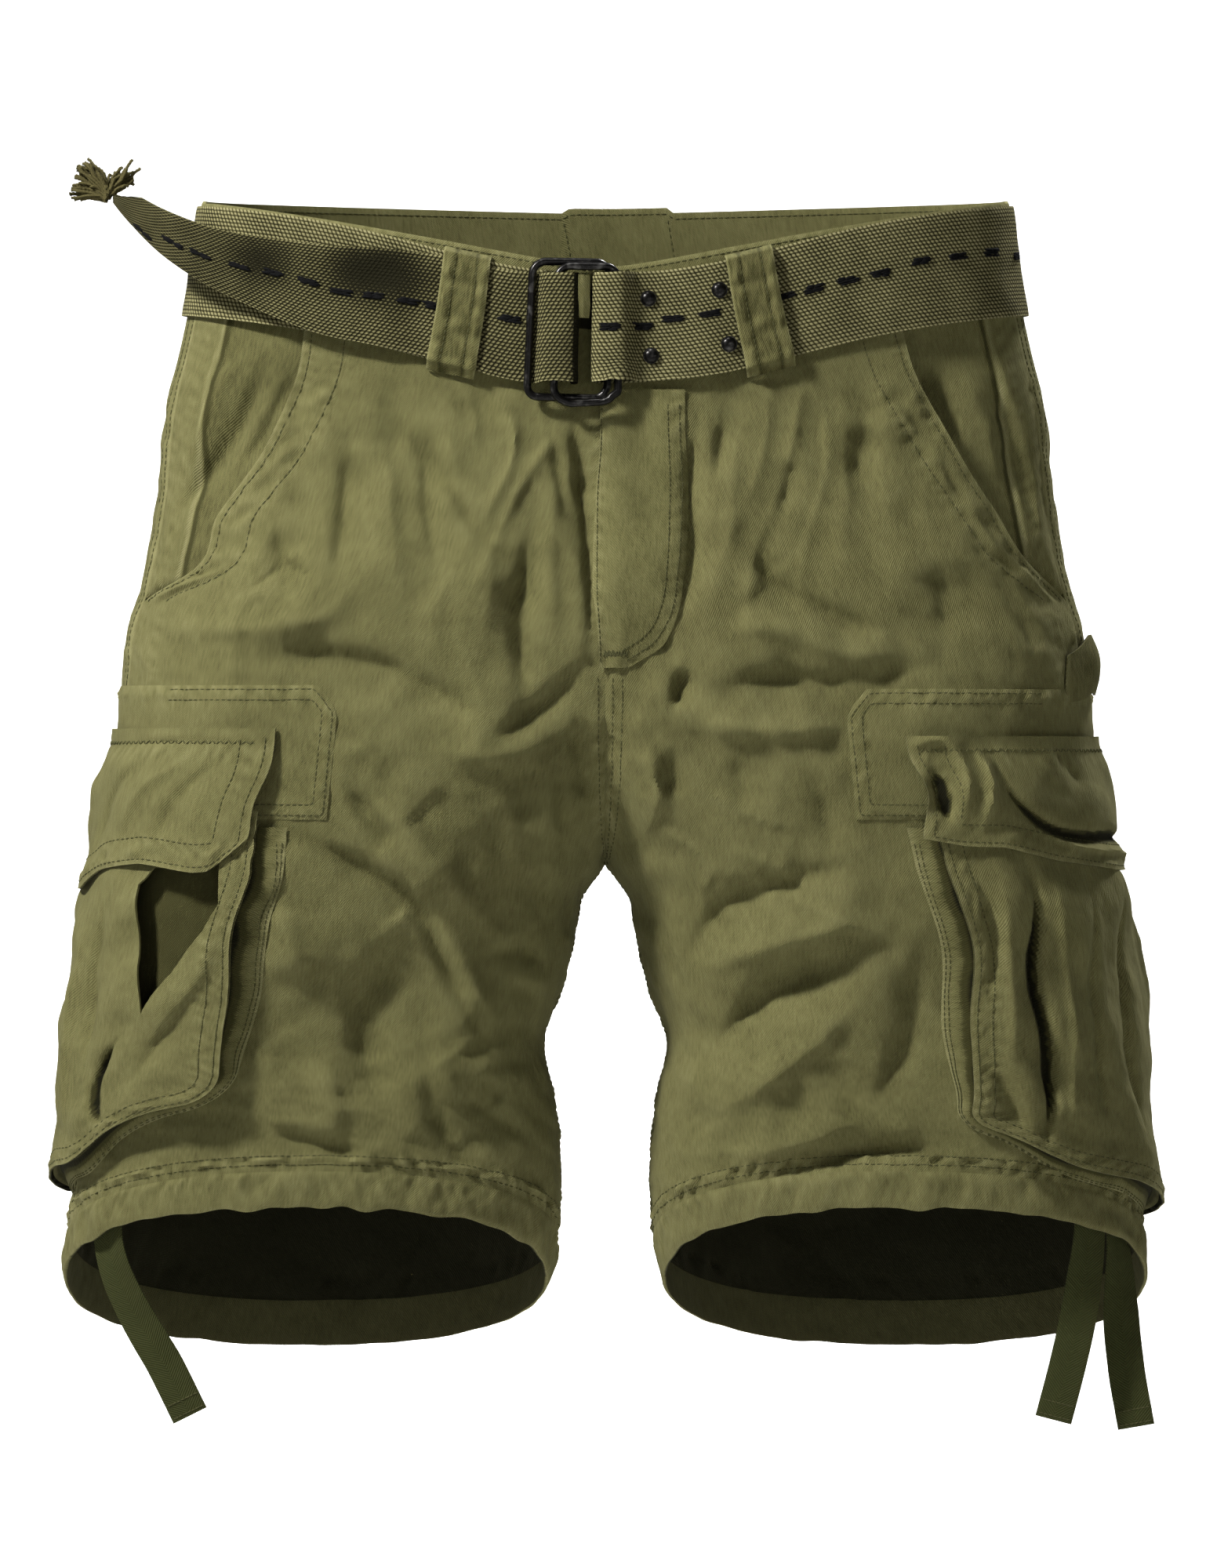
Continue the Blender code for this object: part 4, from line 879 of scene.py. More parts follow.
def webbing_paint():
    """Coarse cotton webbing: offset rows of short slanted floats."""
    paint = Paint("webbing", Roughness=0.9, Specular_IOR_Level=0.08)
    u, v = paint.cloth_place()
    row = v / WEB_ROW + paint.noise(300, 1.0, uv=True) * 0.3
    step = paint.maths("MODULO", paint.maths("FLOOR", row), 2.0) * 0.5
    across = paint.maths("FRACT", row)
    along = paint.maths("FRACT", u / WEB_FLOAT + step + across * 0.45)
    float_height = (paint.maths("SINE", along * math.pi) ** 0.7
                    * paint.maths("SINE", across * math.pi) ** 0.6)
    mottle = paint.noise(60, 4.0)
    fleck = paint.noise(2200, 2.0, uv=True)
    paler_by = paint.attribute("wear")
    # wear below 0 paints shade, down to WEB_DEEP, near black, on the tail's turned edge
    shade = float_height + 0.35 * (mottle - 0.5) + 0.4 * (fleck - 0.5) + paler_by * 0.4
    low = paint.blend(paint.grey_ramp(shade, 0.15, 0.55), WEB_DEEP, WEB)
    paint.feed("Base Color", paint.blend(paint.grey_ramp(shade, 0.5, 1.1), low, WEB_RAISED))
    paint.bump(float_height + fleck * 0.25, 0.8, 0.0006)
    return paint.material


def tape_paint():
    """Herringbone tape, darker than the twill."""
    paint = Paint("tape", Roughness=0.9, Specular_IOR_Level=0.08)
    u, v = paint.cloth_place()
    weave = ribs(paint, v + paint.maths("ABSOLUTE", u) * 0.9, 1.5)
    fleck = paint.noise(1800, 3.0, uv=True)
    shade = weave * 0.5 + fleck * 0.8 - 0.1
    paint.feed("Base Color", paint.blend(paint.grey_ramp(shade, 0.1, 1.0), TAPE_DARK, TAPE_PALE))
    paint.bump(weave + fleck * 0.4, 0.6, 0.0004)
    return paint.material


def thread_paint(name, colour):
    paint = Paint(name, Roughness=0.85, Specular_IOR_Level=0.1)
    twist = paint.noise(1500, 2.0)
    dark = tuple(0.55 * c for c in colour)
    paint.feed("Base Color", paint.blend(paint.grey_ramp(twist, 0.3, 0.7), dark, colour))
    return paint.material


def metal_paint():
    """Gunmetal plate, rubbed paler where it is handled."""
    paint = Paint("gunmetal", Metallic=0.9)
    rub = paint.noise(220, 4.0)
    grain = paint.noise(3000, 2.0)
    paler_by = paint.grey_ramp(rub, 0.5, 0.75)
    paint.feed("Base Color", paint.blend(paler_by, PLATE, PLATE_RUBBED))
    paint.feed("Roughness", 0.22 + 0.14 * grain + 0.1 * paler_by)
    return paint.material


TWILL = (twill_paint("olive_twill"), "twill")
# a copy of the twill painted paler, as lit
TWILL_PAINTED_LIT = (twill_paint("olive_twill_pale", 0.12), "twill_light")
WEBBING = (webbing_paint(), "webbing")
TAPE = (tape_paint(), "tape")
SEWING = (thread_paint("sewing_thread", THREAD), "twill")
BLACK_THREAD = (thread_paint("black_thread", THREAD_BLACK), "webbing")
METAL = (metal_paint(), "gunmetal")
YARN = (thread_paint("frayed_yarn", YARN_BROWN), "webbing")


# ---------------------------------------------------------------- camera, light and stage
FRAME_LONG = 800.0                       # mm seen along the frame's long side, at y = 0
CAMERA_AT = (-1.2, -10000.0, -286.0)
SENSOR = 36.0


def camera():
    data = bpy.data.cameras.new("camera")
    data.sensor_width = SENSOR
    data.lens = SENSOR * -CAMERA_AT[1] / FRAME_LONG
    data.clip_end = 100.0
    made = placed("camera", data)
    made.location = [value * MM for value in CAMERA_AT]
    made.rotation_euler = (math.pi / 2, 0, 0)
    bpy.context.scene.camera = made


Lamp = namedtuple("Lamp", "name x y z size power aim")
MIDDLE = (0.0, 0.0, -0.28)
LAMPS = [               # metres and watts
    Lamp("key", -1.75, -1.3, 1.75, 0.4, 129, MIDDLE),
    Lamp("fill", 1.0, -3.4, 0.2, 1.6, 6.5, MIDDLE),
    Lamp("top", -0.2, -0.3, 1.8, 0.5, 9, MIDDLE),
    Lamp("rear", 1.1, 1.5, 2.3, 0.4, 112, MIDDLE),
    Lamp("rear_fill", -2.2, 2.4, 0.2, 1.4, 6, MIDDLE),
]
ROOM, ROOM_HIGH = 18.0, 4.0         # metres to the round studio's wall, beyond any camera, and up
FLOOR, FLOOR_START, FLOOR_MIDDLE, FLOOR_BEND, FLOOR_SIDES = -1.8, 0.01, 6.0, 2.0, 64
GLOW_REACH, GLOW_HEIGHT = (2.5, 9.0), (-1.5, -0.6)   # where the far floor's glow sets in and ends
WORLD_LIGHT = 0.014
WALL_LAMP_REACH, WALL_LAMP_Z, WALL_LAMP_SIZE, WALL_LAMP_POWER = 16.2, -0.3, 1.4, 95
WALL_LAMPS = [Lamp(f"wall_{number}", WALL_LAMP_REACH * x, WALL_LAMP_REACH * y, WALL_LAMP_Z,
                   WALL_LAMP_SIZE, WALL_LAMP_POWER, (ROOM * x, ROOM * y, WALL_LAMP_Z))
              for number, (x, y) in enumerate((math.sin(turn), math.cos(turn))
                                              for turn in np.arange(8) * math.pi / 4)]


def lights():
    for lamp in LAMPS + WALL_LAMPS:
        data = bpy.data.lights.new(lamp.name, "AREA")
        data.shape, data.size, data.energy = "DISK", lamp.size, lamp.power
        made = placed(lamp.name, data)
        place = np.array([lamp.x, lamp.y, lamp.z])
        aim = np.array(lamp.aim) - place
        made.location = place
        made.rotation_euler = (math.atan2(math.hypot(aim[0], aim[1]), -aim[2]), 0,
                               math.atan2(aim[1], aim[0]) - math.pi / 2)
        made.visible_camera = False
    world = bpy.data.worlds.new("studio")
    world.use_nodes = True
    backing = world.node_tree.nodes["Background"]
    backing.inputs["Color"].default_value = (1, 1, 1, 1)
    backing.inputs["Strength"].default_value = WORLD_LIGHT
    bpy.context.scene.world = world
    bpy.context.scene.view_settings.view_transform = "Standard"


def stage():
    """Pale round floor that sweeps up into a wall all round."""
    bend = [(ROOM - FLOOR_BEND + FLOOR_BEND * math.sin(a), FLOOR_BEND - FLOOR_BEND * math.cos(a))
            for a in np.linspace(0, math.pi / 2, 9)]
    sweep = [(FLOOR_START, 0.0), (FLOOR_MIDDLE, 0.0), *bend, (ROOM, ROOM_HIGH)]
    work = bmesh.new()
    rings = [[work.verts.new((reach * math.cos(turn), reach * math.sin(turn), z + FLOOR))
              for turn in np.arange(FLOOR_SIDES) * 2 * math.pi / FLOOR_SIDES]
             for reach, z in sweep]
    for low, high in zip(rings, rings[1:]):
        for k in range(FLOOR_SIDES):
            after = (k + 1) % FLOOR_SIDES
            work.faces.new((low[k], high[k], high[after], low[after]))
    data = bpy.data.meshes.new("floor")
    work.to_mesh(data)
    work.free()
    data.shade_smooth()
    paint = Paint("floor", Roughness=0.8, Emission_Strength=1.0)
    tint = paint.noise(2, 2.0)
    place = paint.node("TexCoord", {}, {}, "Object")
    reach = paint.node("VectorMath", {"operation": "LENGTH"}, {0: place}, "Value")
    height = paint.node("SeparateXYZ", {}, {0: place}, 2)
    far = paint.grey_ramp(reach, *GLOW_REACH) * (1 - paint.grey_ramp(height, *GLOW_HEIGHT))
    paint.feed("Emission Color", paint.blend(far, (0, 0, 0), FAR_GLOW))
    paint.feed("Base Color", paint.blend(tint, *FLOOR_TONES))
    data.materials.append(paint.material)
    placed("floor", data)


# ---------------------------------------------------------------- drawstring tapes
def tape(name, knots):
    """Flat tape hanging free, turned about its own length, with a folded and sewn end."""
    rows = np.array(knots, float)
    steps = np.linalg.norm(np.diff(rows[:, :3], axis=0), axis=1)
    length = np.concatenate([[0], np.cumsum(steps)])
    at = np.linspace(0, length[-1], 81)
    smooth = np.stack([curve(length, values, at) for values in rows.T], axis=-1)
    place, turn = smooth[:, :3], np.radians(smooth[:, 3])
    ahead = unit(np.gradient(place, axis=0))
    wide = np.stack([np.cos(turn), np.sin(turn), np.zeros_like(turn)], axis=-1)
    wide = unit(wide - ahead * np.sum(wide * ahead, axis=1, keepdims=True))
    normal = np.cross(ahead, wide)
    share = np.linspace(-1, 1, 15)
    doubled = 1.0 + 0.7 * ease((at - length[-1] + 10) / 0.8)
    thick = TAPE_THICK / 2 * doubled[:, None] * np.sqrt(1 - 0.75 * share[None, :] ** 8)
    curl = 0.35 * waves(at[:, None], share[None, :] * 9, 26, 5)
    across = share * TAPE_WIDTH / 2 * 0.99
    middle = place[:, None] + wide[:, None] * across[:, None] + normal[:, None] * curl[..., None]
    outer, inner = (middle + sign * normal[:, None] * thick[..., None] for sign in (1, -1))
    uv = np.stack(np.broadcast_arrays(across[None, :], at[:, None]), axis=-1)
    made = wall(name, outer, inner, uv, TAPE)


# ---------------------------------------------------------------- stitches, rivets and yarn
class Growth(Tree):
    """A Geometry Nodes tree with named sizes, grown once on a mesh."""

    def __init__(self, name, **sizes):
        self.tree = bpy.data.node_groups.new(name, "GeometryNodeTree")
        face = self.tree.interface
        for way in ("INPUT", "OUTPUT"):
            face.new_socket("Geometry", in_out=way, socket_type="NodeSocketGeometry")
        self.keys = {}
        for size, value in sizes.items():
            kind = "NodeSocketInt" if isinstance(value, int) else "NodeSocketFloat"
            socket = face.new_socket(size, in_out="INPUT", socket_type=kind)
            socket.default_value = value
            self.keys[size] = socket.identifier
        self.entry = self.tree.nodes.new("NodeGroupInput")

    def size(self, name):
        return self.entry.outputs[name]

    def maths(self, operation, a, b):
        return self.node("ShaderNodeMath", {"operation": operation}, {0: a, 1: b})

    def vector(self, x, y, z):
        return self.node("ShaderNodeCombineXYZ", {}, {0: x, 1: y, 2: z})

    def named(self, name, kind="FLOAT_VECTOR"):
        return self.node("GeometryNodeInputNamedAttribute", {"data_type": kind}, {"Name": name})

    def upright(self):
        """Rotation with Z along each point's heading and X along its facing."""
        return self.node("FunctionNodeAxesToRotation", {"primary_axis": "Z", "secondary_axis": "X"},
                         {0: self.named("heading"), 1: self.named("facing")})

    def finish(self, shape, material):
        shape = self.node("GeometryNodeRealizeInstances", {}, {"Geometry": shape})
        shape = self.node("GeometryNodeSetMaterial", {}, {"Geometry": shape, "Material": material})
        leave = self.tree.nodes.new("NodeGroupOutput")
        self.tree.links.new(shape, leave.inputs[0])

    def grow(self, data, **sizes):
        """The plain mesh grown on a mesh with these sizes."""
        thing = placed(self.tree.name, data)
        growth = thing.modifiers.new("growth", "NODES")
        growth.node_group = self.tree
        for size, value in sizes.items():
            growth[self.keys[size]] = value
        return plain_mesh(thing)


def stitch_growth(name, material):
    """One bead of thread on each point, lying along its heading."""
    tree = Growth(name, Length=2.5 * MM, Thickness=0.7 * MM, Unevenness=0.15, Seed=7)
    low = tree.maths("SUBTRACT", 1.0, tree.size("Unevenness"))
    high = tree.maths("ADD", 1.0, tree.size("Unevenness"))
    vary = tree.node("FunctionNodeRandomValue", {"data_type": "FLOAT"},
                     {2: low, 3: high, 8: tree.size("Seed")}, 1)
    half = tree.maths("MULTIPLY", tree.size("Thickness"), 0.5)
    long = tree.maths("MULTIPLY", tree.maths("MULTIPLY", tree.size("Length"), 0.5), vary)
    bead = tree.node("GeometryNodeMeshUVSphere", {}, {"Segments": 5, "Rings": 3, "Radius": 1.0})
    laid = tree.node("GeometryNodeInstanceOnPoints", {}, {
        "Points": tree.size("Geometry"), "Instance": bead, "Rotation": tree.upright(),
        "Scale": tree.vector(half, half, long)})
    tree.finish(laid, material)
    return tree


def rivet_growth(material):
    """A domed head on a thin flange, standing along each point's heading."""
    tree = Growth("rivet_heads", Radius=4.0 * MM, Height=2.4 * MM, Flange=1.0 * MM)
    dome = tree.node("GeometryNodeMeshUVSphere", {}, {"Segments": 28, "Rings": 14, "Radius": 1.0})
    wide = tree.maths("MULTIPLY", tree.size("Radius"), 0.92)
    dome = tree.node("GeometryNodeTransform", {}, {
        "Geometry": dome, "Scale": tree.vector(wide, wide, tree.size("Height"))})
    flange = tree.node("GeometryNodeMeshCylinder", {}, {
        "Vertices": 28, "Radius": tree.size("Radius"), "Depth": tree.size("Flange")})
    head = tree.node("GeometryNodeJoinGeometry", {}, {0: [dome, flange]})
    laid = tree.node("GeometryNodeInstanceOnPoints", {}, {
        "Points": tree.size("Geometry"), "Instance": head, "Rotation": tree.upright()})
    tree.finish(laid, material)
    return tree


def yarn_growth(material):
    """Twisted three-ply yarn along each line of edges, as stout as its points say."""
    tree = Growth("frayed_yarn", Thickness=2.0 * MM, Turns=140.0)
    line = tree.node("GeometryNodeMeshToCurve", {}, {"Mesh": tree.size("Geometry")})
    run = tree.node("GeometryNodeSplineParameter", {}, {}, "Length")
    angle = tree.maths("MULTIPLY", tree.maths("MULTIPLY", run, tree.size("Turns")), 2 * math.pi)
    line = tree.node("GeometryNodeSetCurveTilt", {}, {"Curve": line, "Tilt": angle})
    line = tree.node("GeometryNodeSetCurveRadius", {}, {
        "Curve": line, "Radius": tree.named("stout", "FLOAT")})
    half = tree.maths("MULTIPLY", tree.size("Thickness"), 0.5)
    ply = tree.node("GeometryNodeCurveStar", {}, {
        "Points": 3, "Inner Radius": tree.maths("MULTIPLY", half, 0.62), "Outer Radius": half})
    yarn = tree.node("GeometryNodeCurveToMesh", {}, {
        "Curve": line, "Profile Curve": ply, "Fill Caps": True})
    tree.finish(yarn, material)
    return tree


def where_on(surface, u, v):
    """Points and normals of a wall's face at places u, v of its cloth."""
    place = surface.place
    down, over = np.gradient(place, axis=0), np.gradient(place, axis=1)
    points, normals = [], []
    for target in np.stack(np.broadcast_arrays(np.asarray(u, float), np.asarray(v, float)), -1):
        gap = np.sum((place - target) ** 2, axis=-1)
        i, j = np.unravel_index(np.argmin(gap), gap.shape)
        basis = np.stack([down[i, j], over[i, j]], axis=-1)
        shift = np.clip(np.linalg.solve(basis, target - place[i, j]), -0.5, 0.5)
        i_near = min(max(i + int(np.sign(shift[0]) or 1), 0), place.shape[0] - 1)
        j_near = min(max(j + int(np.sign(shift[1]) or 1), 0), place.shape[1] - 1)
        points.append(surface.points[i, j]
                      + abs(shift[0]) * (surface.points[i_near, j] - surface.points[i, j])
                      + abs(shift[1]) * (surface.points[i, j_near] - surface.points[i, j]))
        normals.append(surface.normals[i, j])
    return np.array(points), np.array(normals)


THREADS = {}            # (point, heading, facing) of every stitch, by the work it belongs to


def sew(work, node, u, v, pitch=3.2, proud=0.12):
    """Lays a row of stitches on a wall along a route of its cloth."""
    u, v = np.broadcast_arrays(np.asarray(u, float), np.asarray(v, float))
    run = run_along(u, v)
    at = np.arange(pitch / 2, run[-1], pitch)
    if len(at) < 2:
        return
    ends = [where_on(SURFACES[node], np.interp(at + step, run, u), np.interp(at + step, run, v))
            for step in (-0.45 * pitch, 0.45 * pitch)]
    normals = unit((ends[0][1] + ends[1][1]) / 2)
    heading = unit(ends[1][0] - ends[0][0])
    middle = (ends[0][0] + ends[1][0]) / 2 + proud * normals
    THREADS.setdefault(work, []).append(np.stack([middle, heading, normals], axis=1))


def pointed_mesh(rows, edges=(), **values):
    """A mesh of points that carry a heading and facing, or other values, for a growth."""
    rows = np.asarray(rows, float)
    data = bpy.data.meshes.new("growth_points")
    data.from_pydata((rows[:, 0] * MM).tolist(), edges, [])
    for name, column in (("heading", 1), ("facing", 2)):
        if rows.shape[1] > column:
            data.attributes.new(name, "FLOAT_VECTOR", "POINT").data.foreach_set(
                "vector", rows[:, column].ravel())
    set_values(data, **values)
    return data


def stitching():
    """One piece of thread for each work that was sewn."""
    cotton = (stitch_growth("cotton_stitches", SEWING[0]), SEWING,
              {"Length": 2.7 * MM, "Thickness": 0.75 * MM, "Unevenness": 0.18, "Seed": 7})
    black = (stitch_growth("black_stitches", BLACK_THREAD[0]), BLACK_THREAD,
             {"Length": 6.2 * MM, "Thickness": 1.5 * MM, "Unevenness": 0.25, "Seed": 11})
    for work, rows in THREADS.items():
        growth, finish, sizes = black if work == "belt_running_stitch" else cotton
        data = growth.grow(pointed_mesh(np.concatenate(rows)), **sizes)
        data.shade_smooth()
        added(work, data, finish)


# ---------------------------------------------------------------- panels
Sewn = namedtuple("Sewn", "distance along size reach seed")


def pucker(rows):
    """Ripples (mm) that sewn rows draw into the cloth near them, and the wear they cause."""
    ripple, paler_by = 0.0, 0.0
    for row in rows:
        phase = row.along * (2 * math.pi / 8.2) + row.distance * 0.35
        phase = phase + 1.8 * waves(row.along, 0 * row.along, 30, row.seed, 6)
        near = bell(row.distance / row.reach)
        strength = 0.75 + 0.35 * waves(row.along, 0 * row.along, 47, row.seed + 1, 5)
        ripple = ripple + row.size * strength * np.sin(phase) * near
        paler_by = paler_by + near * (0.16 + 0.34 * np.sin(phase + 0.6) * strength)
    return ripple, paler_by


HELD, BELT_COVER = 2.5, 44.0       # from an edge to where the cloth is free, and below the seam
EVENED_ROWS = 16        # each way, over which the line of the last edge is smoothed

PANEL_LEVELS = np.concatenate([np.linspace(WAIST_SEAM, -488, 200),
                               np.linspace(-489.6, HEM_SEAM, 18)])
PANEL_LEVELS[0] -= SEAM_GAP / 2
PANEL_LEVELS[-1] += SEAM_GAP / 2


def mouth_arc(side, level):
    """Arc of the pocket mouth at a level, 0 below its lower end."""
    x, z = table_columns(MOUTH[side])
    levels = level_under(x, z)
    arcs = arc_at(turn_of_x(np.abs(x), levels), levels)
    arcs[-1] = 0.0
    levels[-1] = MOUTH_END
    order = np.argsort(levels)
    return np.maximum(curve(levels[order], arcs[order], np.maximum(level, MOUTH_END)), 0.0)


def panel_turns(first, level, face, share):
    """Turns of a panel's columns, which crowd only near its last edge at the crotch."""
    end = end_turn(level, face)
    near, count = EVENED_ROWS, 2 * EVENED_ROWS + 1
    edged = np.pad(end, ((near, near), (0, 0)), mode="edge")
    even = sum(edged[k:k + len(end)] for k in range(count)) / count
    return first + (even - first) * share + (end - even) * share ** 6


def fine_cloth(side, arc, level):
    """Small uneven ripples of washed cotton (mm), away from any seam."""
    return (0.45 * waves(arc * side, level * 1.3, 26, 41) + 0.16 * waves(arc * side, level, 9, 43))


def bunched(distance, along, near, far, size, seed):
    """Bulges of the cloth caught between two sewn rows, near and far from its edge (mm)."""
    between = np.clip((distance - near) / (far - near), 0, 1)
    swell = np.sin(math.pi * between)
    return size * swell * (0.4 + waves(along, 0.7 * distance, 11, seed, 9))


def bare_of_patch(side, arc, level):
    """1 where the panel is open, 0 under the sewn-on patch."""
    back, front, top, bottom = PATCH[side]
    over = ease((front + 1 - arc) / 4) * ease((arc - back) / 4)
    return 1 - over * ease((top + 1 - level) / 4) * ease((level - bottom) / 4)


def held(edge, last, level):
    """0 where a panel meets its neighbours and under the waistband, 1 elsewhere."""
    return (ease(edge / HELD) * ease(last / HELD) * ease((level - HEM_SEAM) / HELD)
            * ease((WAIST_SEAM - BELT_COVER - level) / 8))


def front_panel(side):
    """Front of one leg: pocket mouth, stitched hem and fly edge, and its creases."""
    level = PANEL_LEVELS[:, None]
    mouth = mouth_arc(side, level)
    first = np.maximum(mouth, SEAM_GAP / 2)
    first_turn = turn_at(first, level)
    arc = arc_at(panel_turns(first_turn, level, -1, shares(146)), level)
    arc[:, :1] = first
    arc = np.minimum(arc, arc_at(np.full_like(level, -math.pi), level) - SEAM_GAP / 2)
    level = level + 0 * arc
    edge, last = arc - arc[:, :1], arc[:, -1:] - arc
    rows = [Sewn(edge * 0.85 - 4, level * 1.2, 0.5, 4.5, 51 + side),
            Sewn(edge * 0.85 - 19, level * 1.2, 0.55 * (level > MOUTH_END), 4.5, 53 + side),
            Sewn(level - HEM_SEAM - 5, arc, 0.75, 7, 55 + side),
            Sewn(last - 4, level, 0.40, 6, 57 + side)]
    ripple, paler_by = pucker(rows)
    out = ripple + fine_cloth(side, arc, level)
    out = out + bunched(edge * 0.85, level, 4, 19, 0.9, 151 + side) * (level > MOUTH_END)
    out = out + bunched(level - HEM_SEAM, arc, *HEM_ROWS, 1.4, 153 + side)
    out = out * bare_of_patch(side, arc, level) * held(edge, last, level)
    paler_by = paler_by + 0.7 * bell(edge / 1.6) * (level > MOUTH_END)
    if side < 0:            # the leg behind the open side entry is painted darker, as shade
        paler_by = paler_by - 1.3 * (ease((94 - arc) / 6) * ease((arc - 24) / 6)
                             * ease((-300 - level) / 8) * ease((level + 414) / 8))
    made = cloth_wall("front_panel_" + side_name(side), side, arc, level, out, CLOTH, TWILL, paler_by)


def back_panel(side):
    """Back of one leg, lapped and stitched over the front along the side seam."""
    level = np.append(PANEL_LEVELS[:-1:2], PANEL_LEVELS[-1])[:, None]
    first_turn = turn_at(np.full_like(level, -SEAM_GAP / 2), level)
    arc = arc_at(panel_turns(first_turn, level, 1, shares(124)), level)
    arc = np.maximum(arc, arc_at(np.full_like(level, math.pi), level) + SEAM_GAP / 2)
    level = level + 0 * arc
    edge, last = -arc, arc - arc[:, -1:]
    rows = [Sewn(edge - 3, level, 0.35, 5, 61 + side), Sewn(edge - 9, level, 0.3, 5, 62 + side),
            Sewn(level - HEM_SEAM - 5, arc, 0.75, 7, 63 + side), Sewn(last - 5, level, 0.4, 6, 64)]
    ripple, paler_by = pucker(rows)
    out = ripple + fine_cloth(side, arc, level) + 0.9 * bell((edge - 5.5) / 4.5)
    out = out + bunched(edge, level, *SIDE_ROWS, 0.6, 155 + side)
    out = out + bunched(level - HEM_SEAM, arc, *HEM_ROWS, 1.4, 157 + side)
    out = out * bare_of_patch(side, arc, level) * held(edge, last, level)
    paler_by = paler_by + 0.9 * bell((edge - 1.2) / 1.3) - 0.4 * bell((edge - 10) / 1.5)
    made = cloth_wall("back_panel_" + side_name(side), side, arc, level, out, CLOTH, TWILL, paler_by)


def hip_pocket_panel(side):
    """The facing behind the mouth, sunk under the front panel's edge."""
    level = PANEL_LEVELS[PANEL_LEVELS > MOUTH_END - 3, None]
    mouth = mouth_arc(side, level)
    arc = SEAM_GAP / 2 + (mouth + UNDERLAP - SEAM_GAP / 2) * shares(44)
    behind = ease((arc - SEAM_GAP) / np.maximum(mouth - 1.5, 1))
    sunk = SUNK * np.where(mouth > 3, behind, 1)
    level = level + 0 * arc
    edge = arc - arc[:, :1]
    ripple, paler_by = pucker([Sewn(edge - 3, level, 0.4, 4.5, 71 + side),
                           Sewn(edge - 13, level, 0.4, 4.5, 73 + side)])
    lap = edge - 22         # from the ridge where the pocket's bag is sewn to the facing
    # a pale ridge where the bag is sewn, a dark seam line beside it, and on the right facing
    # painted shade
    paler_by = (paler_by + 1.5 * bell(lap / 1.3) - 1.6 * bell((lap - 2.6) / 1.6)
            - 0.35 * (side < 0) * ease(lap / 6))
    ripple = ripple + 1.3 * ease(-lap / 1.5) * ease(edge / 8) + bunched(edge, level, 4, 12, 0.6, 75)
    folds = sum(crease_height(crease, arc, level) for crease in FACING_CREASES[side])
    out = (ripple + 0.7 * fine_cloth(side, arc, level)) * ease(edge / 2.5) * ease((mouth - arc) / 8)
    out = np.minimum(out + folds * ease(edge / 10), sunk + 0.6 * ease((mouth - arc) / 10))
    out = out * ease((WAIST_SEAM - 30 - level) / 20)
    made = cloth_wall("hip_pocket_panel_" + side_name(side), side, arc, level, out - sunk, CLOTH,
                      TWILL, paler_by)


def fly_placket():
    """J-shaped placket whose edge laps over the centre seam."""
    z = np.linspace(PLACKET[-1][0], PLACKET[0][0], 90)[:, None]
    levels, *sides = table_columns(PLACKET)
    near, far = (curve(levels, values, z) for values in sides)
    share = shares(30)
    x = near + (far - near) * share
    z = z + 0 * x
    ripple, paler_by = pucker([Sewn(far - x - 3, z, 0.45, 4, 81), Sewn(x - near - 3, z, 0.18, 3, 83)])
    paler_by = paler_by + 0.6 * bell((x - near) / 1.5)
    high = PLACKET_LIE + PLACKET_WALL - 0.9 * ease((share - 0.5) / 0.5)
    high = np.maximum(high + ripple * ease((x - near) / 3), PLACKET_LIE + 0.35)
    wall("fly_placket", front_cloth(x, z, high), front_cloth(x, z, PLACKET_LIE),
         np.stack([x, z], axis=-1), TWILL, paler_by)


# ---------------------------------------------------------------- waistband and hems
def band(name, side, face, levels, columns, out, thick, ripples, shade=1.0, droop=0.0):
    """A strip of the ring from the side seam to the centre seam or inseam."""
    level = np.asarray(levels, float)[:, None]
    first_turn = turn_at(np.full_like(level, -face * SEAM_GAP / 2), level)
    arc = arc_at(first_turn + (end_turn(level, face) - first_turn) * shares(columns), level)
    stop = arc_at(np.full_like(level, face * math.pi), level)
    arc = np.minimum(arc, stop - SEAM_GAP / 2) if face < 0 else np.maximum(arc, stop + SEAM_GAP / 2)
    level = level + 0 * arc
    extra, paler_by = ripples(side, arc, level)
    level = level + droop * waves(arc, 0 * arc, 27, 171 + side) * ease((levels[0] - level - 5) / 14)
    extra = np.maximum(extra, -0.5 * thick)
    return cloth_wall(name, side, arc, level, out + extra, thick, TWILL, paler_by,
                      out - thick - 0.35 * extra, shade)


def waist_ripples(side, arc, level):
    """Stitched upper edge, rubbed; painted in shadow where the buckle hides it from the light."""
    top = WAIST_TOP - level
    ripple, paler_by = pucker([Sewn(top - 3, arc, 0.25, 3, 91)])
    round_off = -0.7 * bell(top / 1.2) - 0.7 * bell((level - WAIST_SEAM) / 1.2)
    middle = arc_at(end_turn(level, -1), level) - arc
    buckle_shadow = bell((middle - 9) / 6) * (side < 0) * ease((top - 6) / 6)
    paler_by = paler_by + 0.5 * bell(top / 1.5) - 7.0 * buckle_shadow
    return ripple * ease(top / 2) + round_off, paler_by


